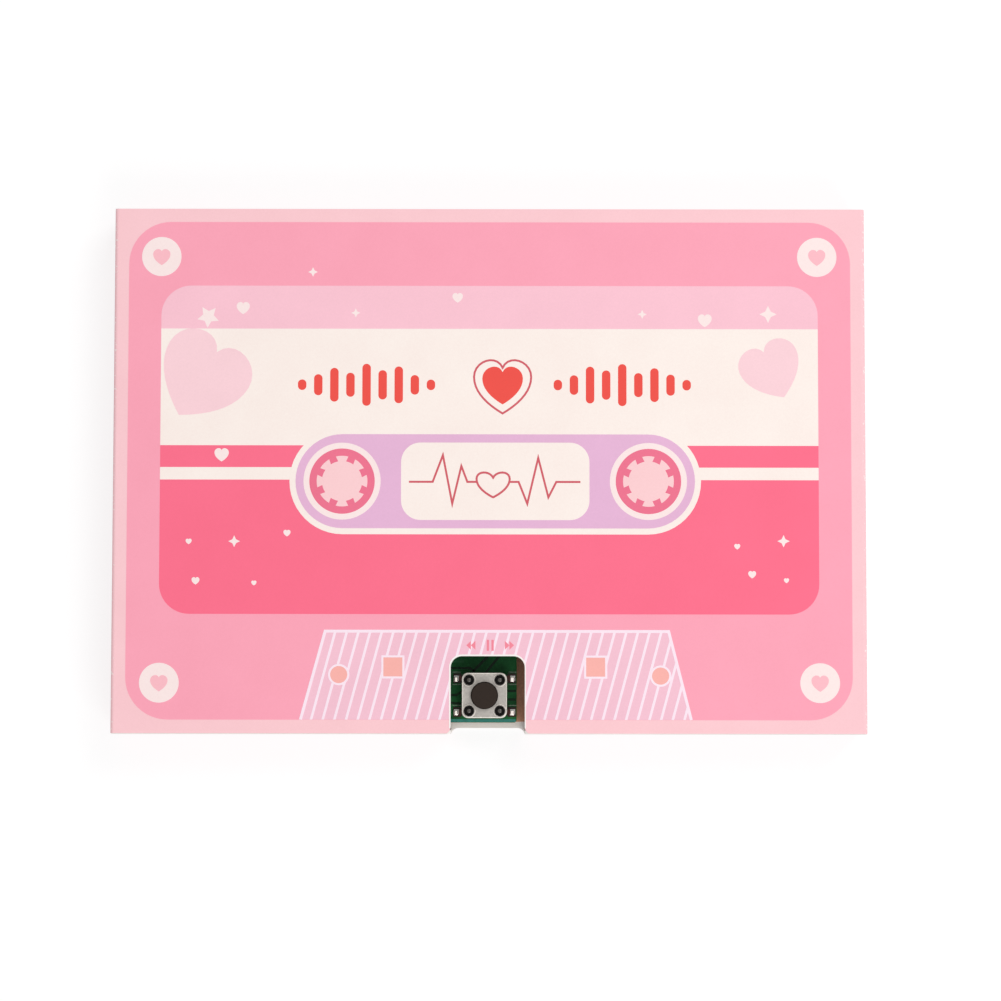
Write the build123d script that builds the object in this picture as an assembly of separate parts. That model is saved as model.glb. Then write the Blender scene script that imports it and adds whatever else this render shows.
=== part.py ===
"""Recordable greeting card, lying on its back: a folded card case with a hinged cover and a sound module inside.

Millimetres. The origin is at the centre of the back face, +Z points out of the front cover, +Y to the top of its print.
"""

import os
from math import cos, pi, sin

from build123d import *

# Card case
case_length = 100.0
case_height = 70.0
case_thickness = 8.0
card_sheet = 0.5
back_fold_radius = 0.4
cover_side_inset = 0.1
cover_air_gap = 0.1
hinge_clearance = 0.1
flap_side_gap = 0.2
flap_floor_gap = 0.1
flap_corner_radius = 2.0
corner_slit = 0.06
glue_tab_length = 8.0
glue_tab_drop = 1.0

# Notch over the play switch, in the cover and in the bottom wall
notch_width = 9.8
notch_depth = 10.3
notch_x = -0.17
notch_top_radius = 1.5
notch_mouth_radius = 1.0
back_cut_depth = 0.65
back_cut_radius = 1.0

# Board spacer and inner panel
spacer_width = 4.0
spacer_fit_gap = 0.2
panel_sheet = 0.4
panel_air_gap = 0.1
panel_notch_margin = 2.0
panel_notch_radius = 2.5

# Circuit board
board_length = 38.0
board_width = 20.0
board_thickness = 1.0
board_corner_radius = 0.4
board_side_gap = 0.92
board_right_x = 3.70
board_tape = 0.5
tape_margin = 1.5
pad_thickness = 0.05
pad_margin = 0.3
pad_toe = 0.1
pad_heel = 0.15

# Push switches, play and record
switch_size = 6.0
switch_height = 3.5
switch_plate = 0.3
switch_plate_corner = 0.8
switch_skirt = 0.25
switch_skirt_drop = 2.3
skirt_gap = 0.03
button_radius = 1.75
button_top = 4.3
button_travel = 0.25
button_flange_radius = 2.2
button_flange_height = 0.55
button_stop_gap = 0.05
button_fit = 0.08
button_nub_radius = 0.8
button_edge_radius = 0.15
dome_radius = 2.0
dome_rise = 0.45
dome_sheet = 0.1
dome_gap = 0.03
well_gap = 0.1
well_floor = 1.2
rivet_spacing = 4.1
rivet_radius = 0.5
rivet_fit = 0.03
rivet_head_radius = 0.65
rivet_head_height = 0.2
leg_pitch = 4.5
leg_width = 0.7
leg_sheet = 0.2
leg_exit_height = 1.1
leg_bend_reach = 0.45
leg_foot_reach = 1.1
play_from_bottom = 5.09
play_x = -0.62
record_from_left = 8.0
record_from_top = 7.2

# Power slide switch
slide_length = 8.6
slide_width = 3.6
slide_height = 3.4
slide_shell = 0.25
slide_fit = 0.08
slide_lower_gap = 0.05
slide_travel = 2.0
knob_length = 1.6
knob_width = 1.4
knob_top_gap = 0.1
knob_edge_radius = 0.15
knob_foot_length = 3.4
knob_foot_height = 0.8
slide_pin_pitch = 2.5
slide_pin_radius = 0.3
pin_fit = 0.05
slide_from_left = 20.5
slide_from_bottom = 4.0

# Voice chip, small parts, lamp and microphone
chip_length = 8.7
chip_width = 3.9
chip_height = 1.4
chip_standoff = 0.15
chip_lead_pitch = 1.27
chip_leads_a_side = 7
chip_lead_reach = 1.05
chip_lead_width = 0.4
chip_lead_sheet = 0.2
chip_knee = 0.4
chip_pad_width = 0.6
chip_edge = 0.15
chip_dot_radius = 0.35
chip_dot_inset = 0.9
chip_dot_depth = 0.1
chip_from_left = 21.0
chip_from_top = 6.6
small_part_length = 1.6
small_part_width = 0.8
small_part_height = 0.5
small_part_pitch = 1.4
small_part_count = 5
small_from_chip = 1.2
small_row_gap = 1.2
small_from_top = 3.4
lamp_radius = 1.5
lamp_dome_radius = 1.35
lamp_height = 4.5
lamp_flange_radius = 1.9
lamp_flange_height = 0.8
lamp_from_left = 13.2
lamp_from_bottom = 4.2
mic_radius = 3.0
mic_height = 2.6
mic_standoff = 0.4
mic_edge_radius = 0.3
mic_screen_radius = 2.1
mic_screen_sheet = 0.25
mic_pin_radius = 0.25
mic_pin_spread = 2.54
mic_from_left = 5.4
mic_from_bottom = 4.6

# Loudspeaker, facing up under the sound holes
speaker_radius = 18.0
speaker_height = 5.0
speaker_rim_width = 2.4
speaker_sheet = 0.5
speaker_gasket = 0.4
speaker_fit = 0.05
speaker_floor_height = 1.7
speaker_from_spacer = 3.4
speaker_from_top = 7.8
pot_radius = 7.2
pot_wall = 1.4
pot_floor = 0.8
pot_height = 3.0
pot_edge_radius = 0.3
magnet_radius = 4.3
magnet_height = 1.3
pole_radius = 4.5
pole_height = 0.7
coil_radius = 4.8
coil_wall = 0.4
coil_height = 2.2
film_sheet = 0.15
film_gap = 0.25
film_seat = 1.0
film_roll = 2.0
film_roll_rise = 0.45
film_dome_rise = 1.0
cone_depth = 0.7
terminal_length = 5.2
terminal_width = 4.0
terminal_sheet = 0.8
terminal_from_middle = 8.0
terminal_edge_gap = 0.1

# Button cells and their holder
cell_radius = 5.8
cell_thickness = 3.05
cell_cap_height = 0.45
cell_cap_radius = 4.9
cell_edge_radius = 0.35
cell_count = 3
cell_fit = 0.1
cell_spacing = 12.4
holder_wall = 1.0
holder_corner_radius = 1.5
holder_tape = 0.5
holder_edge_drop = 0.25
contact_sheet = 0.2
contact_width = 4.0
contact_overlap = 3.0
contact_tail = 1.6
contact_gap = 0.1
holder_from_spacer = 1.8
holder_from_top = 22.4

# Wires
wire_radius = 0.45
wire_end_inset = 1.6
wire_pitch = 2.2
wire_pad_width = 1.6
wire_pad_edge = 0.4
speaker_wire_radius = 5.0
battery_wire_bend = 3.0
wire_tail_cover = 0.4
strip_width = 5.0
strip_margin = 1.5
strip_from_board = 4.0
battery_pad_inset = 3.2
speaker_pad_inset = 1.6

# Holes in the inner panel
record_hole_radius = 4.7
lamp_hole_radius = 1.7
mic_hole_radius = 0.8
knob_slot_gap = 0.5
knob_slot_radius = 0.8
sound_hole_radius = 0.8
sound_ring_pitch = 2.6
sound_rings = 5

# Levels and edges that follow from the sizes above
left = -case_length / 2
right = case_length / 2
bottom = -case_height / 2
top = case_height / 2
cover_under = case_thickness - card_sheet
wall_top = cover_under - cover_air_gap
panel_top = wall_top - panel_air_gap
panel_under = panel_top - panel_sheet
hinge_x = left + card_sheet
hinge_z = cover_under
flap_inner = right - card_sheet
notch_left = notch_x - notch_width / 2
notch_right = notch_x + notch_width / 2
notch_end = bottom + notch_depth
spacer_left = left + 2 * card_sheet + spacer_fit_gap / 2
spacer_right = flap_inner - spacer_fit_gap
spacer_top = top - card_sheet - spacer_fit_gap
spacer_bottom = -spacer_top
panel_right = flap_inner - card_sheet - hinge_clearance
board_bottom = bottom + card_sheet + board_side_gap
board_top = board_bottom + board_width
board_left = board_right_x - board_length
board_under_z = card_sheet + board_tape
board_z = board_under_z + board_thickness
pad_z = board_z + pad_thickness
play_at = (play_x, bottom + play_from_bottom)
record_at = (board_left + record_from_left, board_top - record_from_top)
slide_at = (board_left + slide_from_left, board_bottom + slide_from_bottom)
chip_at = (board_left + chip_from_left, board_top - chip_from_top)
lamp_at = (board_left + lamp_from_left, board_bottom + lamp_from_bottom)
mic_at = (board_left + mic_from_left, board_bottom + mic_from_bottom)
speaker_at = (
    spacer_right - spacer_width - speaker_from_spacer - speaker_radius,
    spacer_top - spacer_width - speaker_from_top - speaker_radius,
)
speaker_top = panel_under - speaker_gasket
speaker_base = speaker_top - speaker_height
speaker_floor = speaker_base + speaker_floor_height
cell_z = pad_z
cell_top = cell_z + cell_thickness
holder_base = card_sheet + holder_tape
holder_top = cell_top - holder_edge_drop
holder_length = (cell_count - 1) * cell_spacing + 2 * (cell_radius + cell_fit + holder_wall)
holder_width = 2 * (cell_radius + cell_fit + holder_wall)
holder_at = (
    spacer_left + spacer_width + holder_from_spacer + holder_length / 2,
    top - holder_from_top - holder_width / 2,
)
wire_z = pad_z + wire_radius


def block(x0, x1, y0, y1, z0, z1):
    """Box between two opposite corners."""
    return Pos((x0 + x1) / 2, (y0 + y1) / 2, (z0 + z1) / 2) * Box(x1 - x0, y1 - y0, z1 - z0)


def disc(at, z0, z1, radius):
    """Upright cylinder between two heights."""
    return Pos(at[0], at[1], (z0 + z1) / 2) * Cylinder(radius, z1 - z0)


def ring(at, z0, z1, outer, inner):
    """Upright tube between two heights."""
    return disc(at, z0, z1, outer) - disc(at, z0 - 1, z1 + 1, inner)


def rounded_plate(x0, x1, y0, y1, z0, z1, radius):
    """Plate with rounded upright corners."""
    outline = RectangleRounded(x1 - x0, y1 - y0, radius)
    return Pos((x0 + x1) / 2, (y0 + y1) / 2, z0) * extrude(outline, amount=z1 - z0)


def turned(at, z, points):
    """Solid turned about an upright axis from a closed outline of radius and height pairs."""
    outline = make_face(Polyline(*[(r, 0, h) for r, h in points], close=True))
    return Pos(at[0], at[1], z) * revolve(outline, Axis.Z)


def strip(x0, x1, points):
    """Bent metal strip: an outline in Y and Z, drawn out along X."""
    outline = make_face(Polyline(*[(x0, y, z) for y, z in points], close=True))
    return extrude(outline, amount=x1 - x0, dir=(1, 0, 0))


def notch_cutter(margin, top_radius, mouth_radius, z0, z1):
    """Plan outline of the die-cut notch, rounded inside its two upper corners and out at its mouth."""
    x0, x1 = notch_left - margin, notch_right + margin
    y1 = notch_end + margin
    outline = make_face(
        Line((x0 - mouth_radius, bottom), (x0 - mouth_radius, bottom - 1))
        + Line((x0 - mouth_radius, bottom - 1), (x1 + mouth_radius, bottom - 1))
        + Line((x1 + mouth_radius, bottom - 1), (x1 + mouth_radius, bottom))
        + RadiusArc((x1 + mouth_radius, bottom), (x1, bottom + mouth_radius), mouth_radius)
        + Line((x1, bottom + mouth_radius), (x1, y1 - top_radius))
        + RadiusArc((x1, y1 - top_radius), (x1 - top_radius, y1), -top_radius)
        + Line((x1 - top_radius, y1), (x0 + top_radius, y1))
        + RadiusArc((x0 + top_radius, y1), (x0, y1 - top_radius), -top_radius)
        + Line((x0, y1 - top_radius), (x0, bottom + mouth_radius))
        + RadiusArc((x0, bottom + mouth_radius), (x0 - mouth_radius, bottom), mouth_radius)
    )
    return Pos(0, 0, z0) * extrude(outline, amount=z1 - z0, dir=(0, 0, 1))


def back_cutter():
    """Shallow round-ended cut where the notch crosses the bottom fold into the back panel."""
    d, r = back_cut_depth, back_cut_radius
    run = (2 * r * d - d * d) ** 0.5
    y1 = bottom + d
    outline = make_face(
        Polyline((notch_left, bottom), (notch_left, bottom - 1), (notch_right, bottom - 1), (notch_right, bottom))
        + RadiusArc((notch_right, bottom), (notch_right - run, y1), -r)
        + Line((notch_right - run, y1), (notch_left + run, y1))
        + RadiusArc((notch_left + run, y1), (notch_left, bottom), -r)
    )
    return Pos(0, 0, -1) * extrude(outline, amount=card_sheet + 2, dir=(0, 0, 1))


def card_tray():
    """Back panel, spine wall, top wall and notched bottom wall, folded from one sheet, with glue tabs at the spine."""
    floor_sheet = block(left, right, bottom, top, 0, card_sheet)
    upper_wall = block(left, right, top - card_sheet, top, 0, wall_top)
    lower_wall = block(left, right, bottom, bottom + card_sheet, 0, wall_top)
    spine = block(left, left + card_sheet, bottom, top, 0, wall_top)
    body = floor_sheet + upper_wall + lower_wall + spine
    folds = body.edges().filter_by_position(Axis.Z, -0.01, 0.01).sort_by(Axis.X)[:-1]
    body = fillet(folds, back_fold_radius)
    tab_inner = top - card_sheet
    tab_top = wall_top - glue_tab_drop
    for side in (-1, 1):
        y0, y1 = sorted((side * tab_inner, side * (tab_inner - glue_tab_length)))
        body += block(left + card_sheet, left + 2 * card_sheet, y0, y1, card_sheet, tab_top)
    body -= block(left - 1, hinge_x + card_sheet + hinge_clearance, bottom - 1, top + 1,
                  hinge_z - card_sheet - hinge_clearance, case_thickness)
    for side in (-1, 1):
        y0, y1 = sorted((side * tab_inner, side * (top + 1)))
        body -= block(left + card_sheet, left + card_sheet + corner_slit, y0, y1, card_sheet, case_thickness)
    body -= block(notch_left, notch_right, bottom - 1, bottom + card_sheet, card_sheet, case_thickness)
    return body - back_cutter()


def front_cover():
    """Front panel between two rolled folds, one at the spine and one at the fore edge, with the notch."""
    r = card_sheet
    fold = cos(pi / 4) * r
    half = top - cover_side_inset
    outline = make_face(
        Line((hinge_x, 0, case_thickness), (flap_inner, 0, case_thickness))
        + ThreePointArc((flap_inner, 0, case_thickness), (flap_inner + fold, 0, cover_under - fold),
                        (flap_inner - r, 0, cover_under))
        + Line((flap_inner - r, 0, cover_under), (hinge_x + r, 0, cover_under))
        + ThreePointArc((hinge_x + r, 0, cover_under), (hinge_x - fold, 0, hinge_z - fold),
                        (hinge_x, 0, case_thickness))
    )
    body = Pos(0, half, 0) * extrude(outline, amount=2 * half, dir=(0, -1, 0))
    flap_edge = top - card_sheet - flap_side_gap
    for side in (-1, 1):
        y0, y1 = sorted((side * flap_edge, side * (top + 1)))
        body -= block(flap_inner - r - 0.01, right + 1, y0, y1, cover_under - r - 1, cover_under)
    return body - notch_cutter(0, notch_top_radius, notch_mouth_radius, cover_under - 1, case_thickness + 1)


def cover_flap():
    """Fore-edge flap that closes the open side of the tray, with two round lower corners."""
    edge = top - card_sheet - flap_side_gap
    body = block(flap_inner, right, -edge, edge, card_sheet + flap_floor_gap, cover_under)
    lower = body.edges().filter_by(Axis.X).sort_by(Axis.Z)[:2]
    body = fillet(lower, flap_corner_radius)
    bead = Pos(flap_inner, 0, cover_under) * Rot(90, 0, 0) * Cylinder(card_sheet + hinge_clearance, 2 * top)
    return body - bead


def spacer_frame():
    """Board that holds the inner panel off the back, open at the lower edge for the circuit board and the notch."""
    z0, z1 = card_sheet, panel_under
    body = block(spacer_left, spacer_right, spacer_bottom, spacer_top, z0, z1)
    body -= block(spacer_left + spacer_width, spacer_right - spacer_width, spacer_bottom + spacer_width,
                  spacer_top - spacer_width, z0 - 1, z1 + 1)
    gap_left = board_left - tape_margin
    gap_right = max(board_right_x, notch_right) + panel_notch_margin
    body -= block(gap_left, gap_right, spacer_bottom - 1, spacer_bottom + spacer_width + 1, z0 - 1, z1 + 1)
    return body


def sound_holes():
    """Places of the sound holes: one in the middle and a ring of six more for each step outward."""
    places = [speaker_at]
    for step in range(1, sound_rings + 1):
        for n in range(6 * step):
            angle = 2 * pi * n / (6 * step)
            places.append((speaker_at[0] + step * sound_ring_pitch * cos(angle),
                           speaker_at[1] + step * sound_ring_pitch * sin(angle)))
    return places


def inner_panel():
    """Panel under the cover, with sound holes and holes for the record button, lamp, microphone and power knob."""
    z0, z1 = panel_under, panel_top
    body = block(spacer_left, panel_right, spacer_bottom, spacer_top, z0, z1)
    body -= notch_cutter(panel_notch_margin, panel_notch_radius, notch_mouth_radius, z0 - 1, z1 + 1)
    cuts = [disc(place, z0 - 1, z1 + 1, sound_hole_radius) for place in sound_holes()]
    cuts.append(disc(record_at, z0 - 1, z1 + 1, record_hole_radius))
    cuts.append(disc(lamp_at, z0 - 1, z1 + 1, lamp_hole_radius))
    cuts.append(disc(mic_at, z0 - 1, z1 + 1, mic_hole_radius))
    half_length = (knob_length + slide_travel) / 2 + knob_slot_gap
    half_width = knob_width / 2 + knob_slot_gap
    x, y = slide_at
    cuts.append(rounded_plate(x - half_length, x + half_length, y - half_width, y + half_width,
                              z0 - 1, z1 + 1, knob_slot_radius))
    return body - cuts


def circuit_board():
    """Board with holes for the pins of the power switch and the microphone."""
    body = rounded_plate(board_left, board_right_x, board_bottom, board_top, board_under_z, board_z,
                         board_corner_radius)
    for place in slide_pin_places():
        body -= disc(place, board_under_z - 1, board_z + 1, slide_pin_radius + pin_fit)
    for place in mic_pin_places():
        body -= disc(place, board_under_z - 1, board_z + 1, mic_pin_radius + pin_fit)
    return body


def board_tape_pad():
    return block(board_left + tape_margin, board_right_x - tape_margin, board_bottom + tape_margin,
                 board_top - tape_margin, card_sheet, board_under_z)


def leg_corners(at):
    """Places where a push switch's legs leave its base: side of the base and Y."""
    return [(side, at[1] + end * leg_pitch / 2) for side in (-1, 1) for end in (-1, 1)]


def switch_pads(at):
    """Four solder pads under a push switch's feet."""
    near = switch_size / 2 + leg_bend_reach - leg_sheet - pad_heel
    far = switch_size / 2 + leg_foot_reach + pad_toe
    half = leg_width / 2 + pad_margin
    pads = []
    for side, y in leg_corners(at):
        x0, x1 = sorted((at[0] + side * near, at[0] + side * far))
        pads.append(block(x0, x1, y - half, y + half, board_z, pad_z))
    return pads


def solder_pads():
    """Copper and solder of the switches, the chip and the four wires."""
    pads = switch_pads(play_at) + switch_pads(record_at)
    for x, side in chip_lead_places():
        y0, y1 = sorted(chip_at[1] + side * (chip_width / 2 + reach) for reach in (chip_knee, chip_lead_reach))
        pads.append(block(x - chip_pad_width / 2, x + chip_pad_width / 2, y0, y1, board_z, pad_z))
    for x in wire_pad_places():
        pads.append(block(x - wire_pad_width / 2, x + wire_pad_width / 2, board_top - wire_end_inset - wire_pad_edge,
                          board_top - wire_pad_edge, board_z, pad_z))
    return Compound(children=pads)


def wire_pad_places():
    """X of the four wire ends on the circuit board."""
    return [battery_wire_x(0), battery_wire_x(1), speaker_wire_x(0), speaker_wire_x(1)]


def battery_wire_x(index):
    """X of the pad for the battery wire from the first cell and from the last."""
    return board_left + battery_pad_inset if index == 0 else holder_at[0] + (cell_count - 1) / 2 * cell_spacing


def speaker_wire_x(index):
    """X of the pad for each loudspeaker wire."""
    return board_right_x - speaker_pad_inset - index * wire_pitch


def switch_base(at):
    """Moulded base with a round well, seats for the cover's skirts and four riveted posts."""
    x, y = at
    half = switch_size / 2
    under_plate = pad_z + switch_height - switch_plate
    half_y = half - switch_skirt - skirt_gap
    body = block(x - half, x + half, y - half_y, y + half_y, pad_z, under_plate)
    body -= disc(at, pad_z + well_floor, under_plate + 1, button_flange_radius + well_gap)
    for dx in (-1, 1):
        for dy in (-1, 1):
            place = (x + dx * rivet_spacing / 2, y + dy * rivet_spacing / 2)
            head = under_plate + switch_plate
            body += disc(place, under_plate - rivet_head_height, head, rivet_radius)
            body += disc(place, head, head + rivet_head_height, rivet_head_radius)
    return body


def switch_cover(at):
    """Stamped plate over the base, with a round hole for the button, four rivet holes and a skirt on two sides."""
    x, y = at
    half = switch_size / 2
    plate_top = pad_z + switch_height
    under_plate = plate_top - switch_plate
    body = rounded_plate(x - half, x + half, y - half, y + half, under_plate, plate_top, switch_plate_corner)
    skirt_half = half - switch_plate_corner
    for side in (-1, 1):
        y0, y1 = sorted((y + side * half, y + side * (half - switch_skirt)))
        body += block(x - skirt_half, x + skirt_half, y0, y1, under_plate - switch_skirt_drop, under_plate)
    body -= disc(at, under_plate - 1, plate_top + 1, button_radius + button_fit)
    for dx in (-1, 1):
        for dy in (-1, 1):
            place = (x + dx * rivet_spacing / 2, y + dy * rivet_spacing / 2)
            body -= disc(place, under_plate - 1, plate_top + 1, rivet_radius + rivet_fit)
    return body


def switch_dome(at):
    """Snap dome of thin spring sheet on the floor of the well."""
    z = pad_z + well_floor
    inner_rise = dome_rise - dome_sheet
    sphere_radius = (dome_radius ** 2 + dome_rise ** 2) / (2 * dome_rise)
    outer = Pos(at[0], at[1], z + dome_rise - sphere_radius) * Sphere(sphere_radius)
    inner = Pos(at[0], at[1], z + inner_rise - sphere_radius) * Sphere(sphere_radius)
    return (outer - inner) & disc(at, z, z + dome_rise + 1, dome_radius - 0.1)


def switch_legs(at):
    """Four gull-wing legs from the base's sides down to their pads."""
    half = switch_size / 2
    lift = leg_exit_height
    knee = leg_bend_reach
    legs = []
    for side, y in leg_corners(at):
        points = [(half, lift), (half + knee, lift), (half + knee, leg_sheet), (half + leg_foot_reach, leg_sheet),
                  (half + leg_foot_reach, 0), (half + knee - leg_sheet, 0), (half + knee - leg_sheet, lift - leg_sheet),
                  (half, lift - leg_sheet)]
        corners = [(at[0] + side * across, y - leg_width / 2, pad_z + up) for across, up in points]
        legs.append(extrude(make_face(Polyline(*corners, close=True)), amount=leg_width, dir=(0, 1, 0)))
    return Compound(children=legs)


def switch_button(at):
    """Round button with a retaining flange under the plate and a nub that presses the dome."""
    base = pad_z
    flange_top = base + switch_height - switch_plate - button_stop_gap
    flange_bottom = flange_top - button_flange_height
    nub_bottom = base + well_floor + dome_rise + dome_gap
    stem = disc(at, flange_bottom, base + button_top, button_radius)
    stem = fillet(stem.edges().sort_by(Axis.Z)[-1:], button_edge_radius)
    flange = disc(at, flange_bottom, flange_top, button_flange_radius)
    nub = disc(at, nub_bottom, flange_bottom, button_nub_radius)
    return stem + flange + nub


def slide_switch_base():
    """Moulded base of the power switch, under the slider."""
    x, y = slide_at
    half_x = slide_length / 2 - slide_shell - skirt_gap
    half_y = slide_width / 2 - slide_shell - skirt_gap
    return block(x - half_x, x + half_x, y - half_y, y + half_y, pad_z, slide_floor())


def slide_floor():
    """Height of the base's top, on which the slider runs."""
    return pad_z + slide_height - slide_shell - 2 * slide_lower_gap - knob_foot_height


def slide_switch_shell():
    """Folded metal shell with a slot for the knob."""
    x, y = slide_at
    half_x, half_y = slide_length / 2, slide_width / 2
    z1 = pad_z + slide_height
    body = block(x - half_x, x + half_x, y - half_y, y + half_y, pad_z, z1)
    body -= block(x - half_x + slide_shell, x + half_x - slide_shell, y - half_y + slide_shell,
                  y + half_y - slide_shell, pad_z - 1, z1 - slide_shell)
    slot_x = (knob_length + slide_travel) / 2 + slide_fit
    slot_y = knob_width / 2 + slide_fit
    body -= block(x - slot_x, x + slot_x, y - slot_y, y + slot_y, z1 - slide_shell - 1, z1 + 1)
    top_edges = body.edges().filter_by_position(Axis.Z, z1 - 0.001, z1 + 0.001)
    outer = [e for e in top_edges if abs(e.center().X - x) > half_x - 0.01 or abs(e.center().Y - y) > half_y - 0.01]
    return fillet(outer, slide_shell * 0.6)


def slide_switch_knob():
    """Knob with its foot, standing at the left end of its travel."""
    x, y = slide_at
    x -= slide_travel / 2
    foot_bottom = slide_floor() + slide_lower_gap
    foot_top = foot_bottom + knob_foot_height
    half_y = slide_width / 2 - slide_shell - slide_fit
    foot = block(x - knob_foot_length / 2, x + knob_foot_length / 2, y - half_y, y + half_y, foot_bottom, foot_top)
    stem = block(x - knob_length / 2, x + knob_length / 2, y - knob_width / 2, y + knob_width / 2,
                 foot_top, panel_top - knob_top_gap)
    stem = fillet(stem.edges().group_by(Axis.Z)[-1], knob_edge_radius)
    return foot + stem


def slide_switch_pins():
    """Three pins under the base, through the circuit board."""
    return Compound(children=[disc(place, board_under_z, pad_z, slide_pin_radius) for place in slide_pin_places()])


def slide_pin_places():
    return [(slide_at[0] + n * slide_pin_pitch, slide_at[1]) for n in (-1, 0, 1)]


def voice_chip():
    """Moulded chip with chamfered upper edges and a dimple at the first lead."""
    x, y = chip_at
    z0 = pad_z + chip_standoff
    body = block(x - chip_length / 2, x + chip_length / 2, y - chip_width / 2, y + chip_width / 2, z0, z0 + chip_height)
    body = chamfer(body.edges().group_by(Axis.Z)[-1], chip_edge)
    dot = (x - chip_length / 2 + chip_dot_inset, y - chip_width / 2 + chip_dot_inset)
    return body - disc(dot, z0 + chip_height - chip_dot_depth, z0 + chip_height + 1, chip_dot_radius)


def chip_lead_places():
    """X and side of each chip lead."""
    first = chip_at[0] - (chip_leads_a_side - 1) / 2 * chip_lead_pitch
    return [(first + n * chip_lead_pitch, side) for side in (-1, 1) for n in range(chip_leads_a_side)]


def chip_leads():
    """Gull-wing leads along both long sides of the chip."""
    half = chip_width / 2
    lift = chip_standoff + chip_height / 2 + chip_lead_sheet / 2
    knee = chip_knee + chip_lead_sheet
    sheet = chip_lead_sheet
    leads = []
    for x, side in chip_lead_places():
        points = [(half, lift), (half + knee, lift), (half + knee, sheet), (half + chip_lead_reach, sheet),
                  (half + chip_lead_reach, 0), (half + knee - sheet, 0), (half + knee - sheet, lift - sheet),
                  (half, lift - sheet)]
        outline = [(chip_at[1] + side * across, pad_z + up) for across, up in points]
        leads.append(strip(x - chip_lead_width / 2, x + chip_lead_width / 2, outline))
    return Compound(children=leads)


def small_parts(row):
    """A row of small two-ended parts on the circuit board."""
    parts = []
    first = chip_at[0] + chip_length / 2 + small_from_chip + small_part_length / 2
    x = first + row * (small_part_length + small_row_gap)
    for n in range(small_part_count):
        y = board_top - small_from_top - n * small_part_pitch
        parts.append(block(x - small_part_length / 2, x + small_part_length / 2, y - small_part_width / 2,
                           y + small_part_width / 2, board_z, board_z + small_part_height))
    return Compound(children=parts)


def record_lamp():
    """Round-topped lamp standing on its flange."""
    body = disc(lamp_at, board_z, board_z + lamp_height, lamp_radius)
    body = fillet(body.edges().sort_by(Axis.Z)[-1:], lamp_dome_radius)
    return body + disc(lamp_at, board_z, board_z + lamp_flange_height, lamp_flange_radius)


def microphone_can():
    z0 = board_z + mic_standoff
    body = disc(mic_at, z0, z0 + mic_height, mic_radius)
    body = fillet(body.edges().group_by(Axis.Z)[-1], mic_edge_radius)
    return body - disc(mic_at, z0 + mic_height - mic_screen_sheet, z0 + mic_height + 1, mic_screen_radius)


def microphone_screen():
    z1 = board_z + mic_standoff + mic_height
    return disc(mic_at, z1 - mic_screen_sheet, z1, mic_screen_radius)


def microphone_pins():
    """Two pins under the capsule, through the circuit board."""
    pin_top = board_z + mic_standoff
    return Compound(children=[disc(place, board_under_z, pin_top, mic_pin_radius) for place in mic_pin_places()])


def mic_pin_places():
    return [(mic_at[0] + side * mic_pin_spread / 2, mic_at[1]) for side in (-1, 1)]


def speaker_frame():
    """Stamped dish: a flat rim, a side wall and a floor around the pot."""
    outer = speaker_radius - speaker_rim_width
    hole = pot_radius + speaker_fit
    points = [
        (hole, 0), (outer, 0), (outer, speaker_top - speaker_floor - speaker_sheet),
        (speaker_radius, speaker_top - speaker_floor - speaker_sheet), (speaker_radius, speaker_top - speaker_floor),
        (outer - speaker_sheet, speaker_top - speaker_floor), (outer - speaker_sheet, speaker_sheet),
        (hole, speaker_sheet),
    ]
    return turned(speaker_at, speaker_floor, points)


def speaker_pot():
    """Steel pot around the magnet."""
    body = disc(speaker_at, speaker_base, speaker_base + pot_height, pot_radius)
    body = fillet(body.edges().group_by(Axis.Z)[0], pot_edge_radius)
    return body - disc(speaker_at, speaker_base + pot_floor, speaker_top, pot_radius - pot_wall)


def speaker_magnet():
    z0 = speaker_base + pot_floor
    return disc(speaker_at, z0, z0 + magnet_height, magnet_radius)


def speaker_pole():
    z0 = speaker_base + pot_floor + magnet_height
    return disc(speaker_at, z0, z0 + pole_height, pole_radius)


def film_level():
    """Height of the film's glued edge."""
    return speaker_top - speaker_sheet - film_gap


def film_dip():
    """Height of the film's underside where it carries the voice coil."""
    return film_level() - cone_depth


def voice_coil():
    return ring(speaker_at, film_dip() - coil_height, film_dip(), coil_radius + coil_wall, coil_radius)


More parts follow.
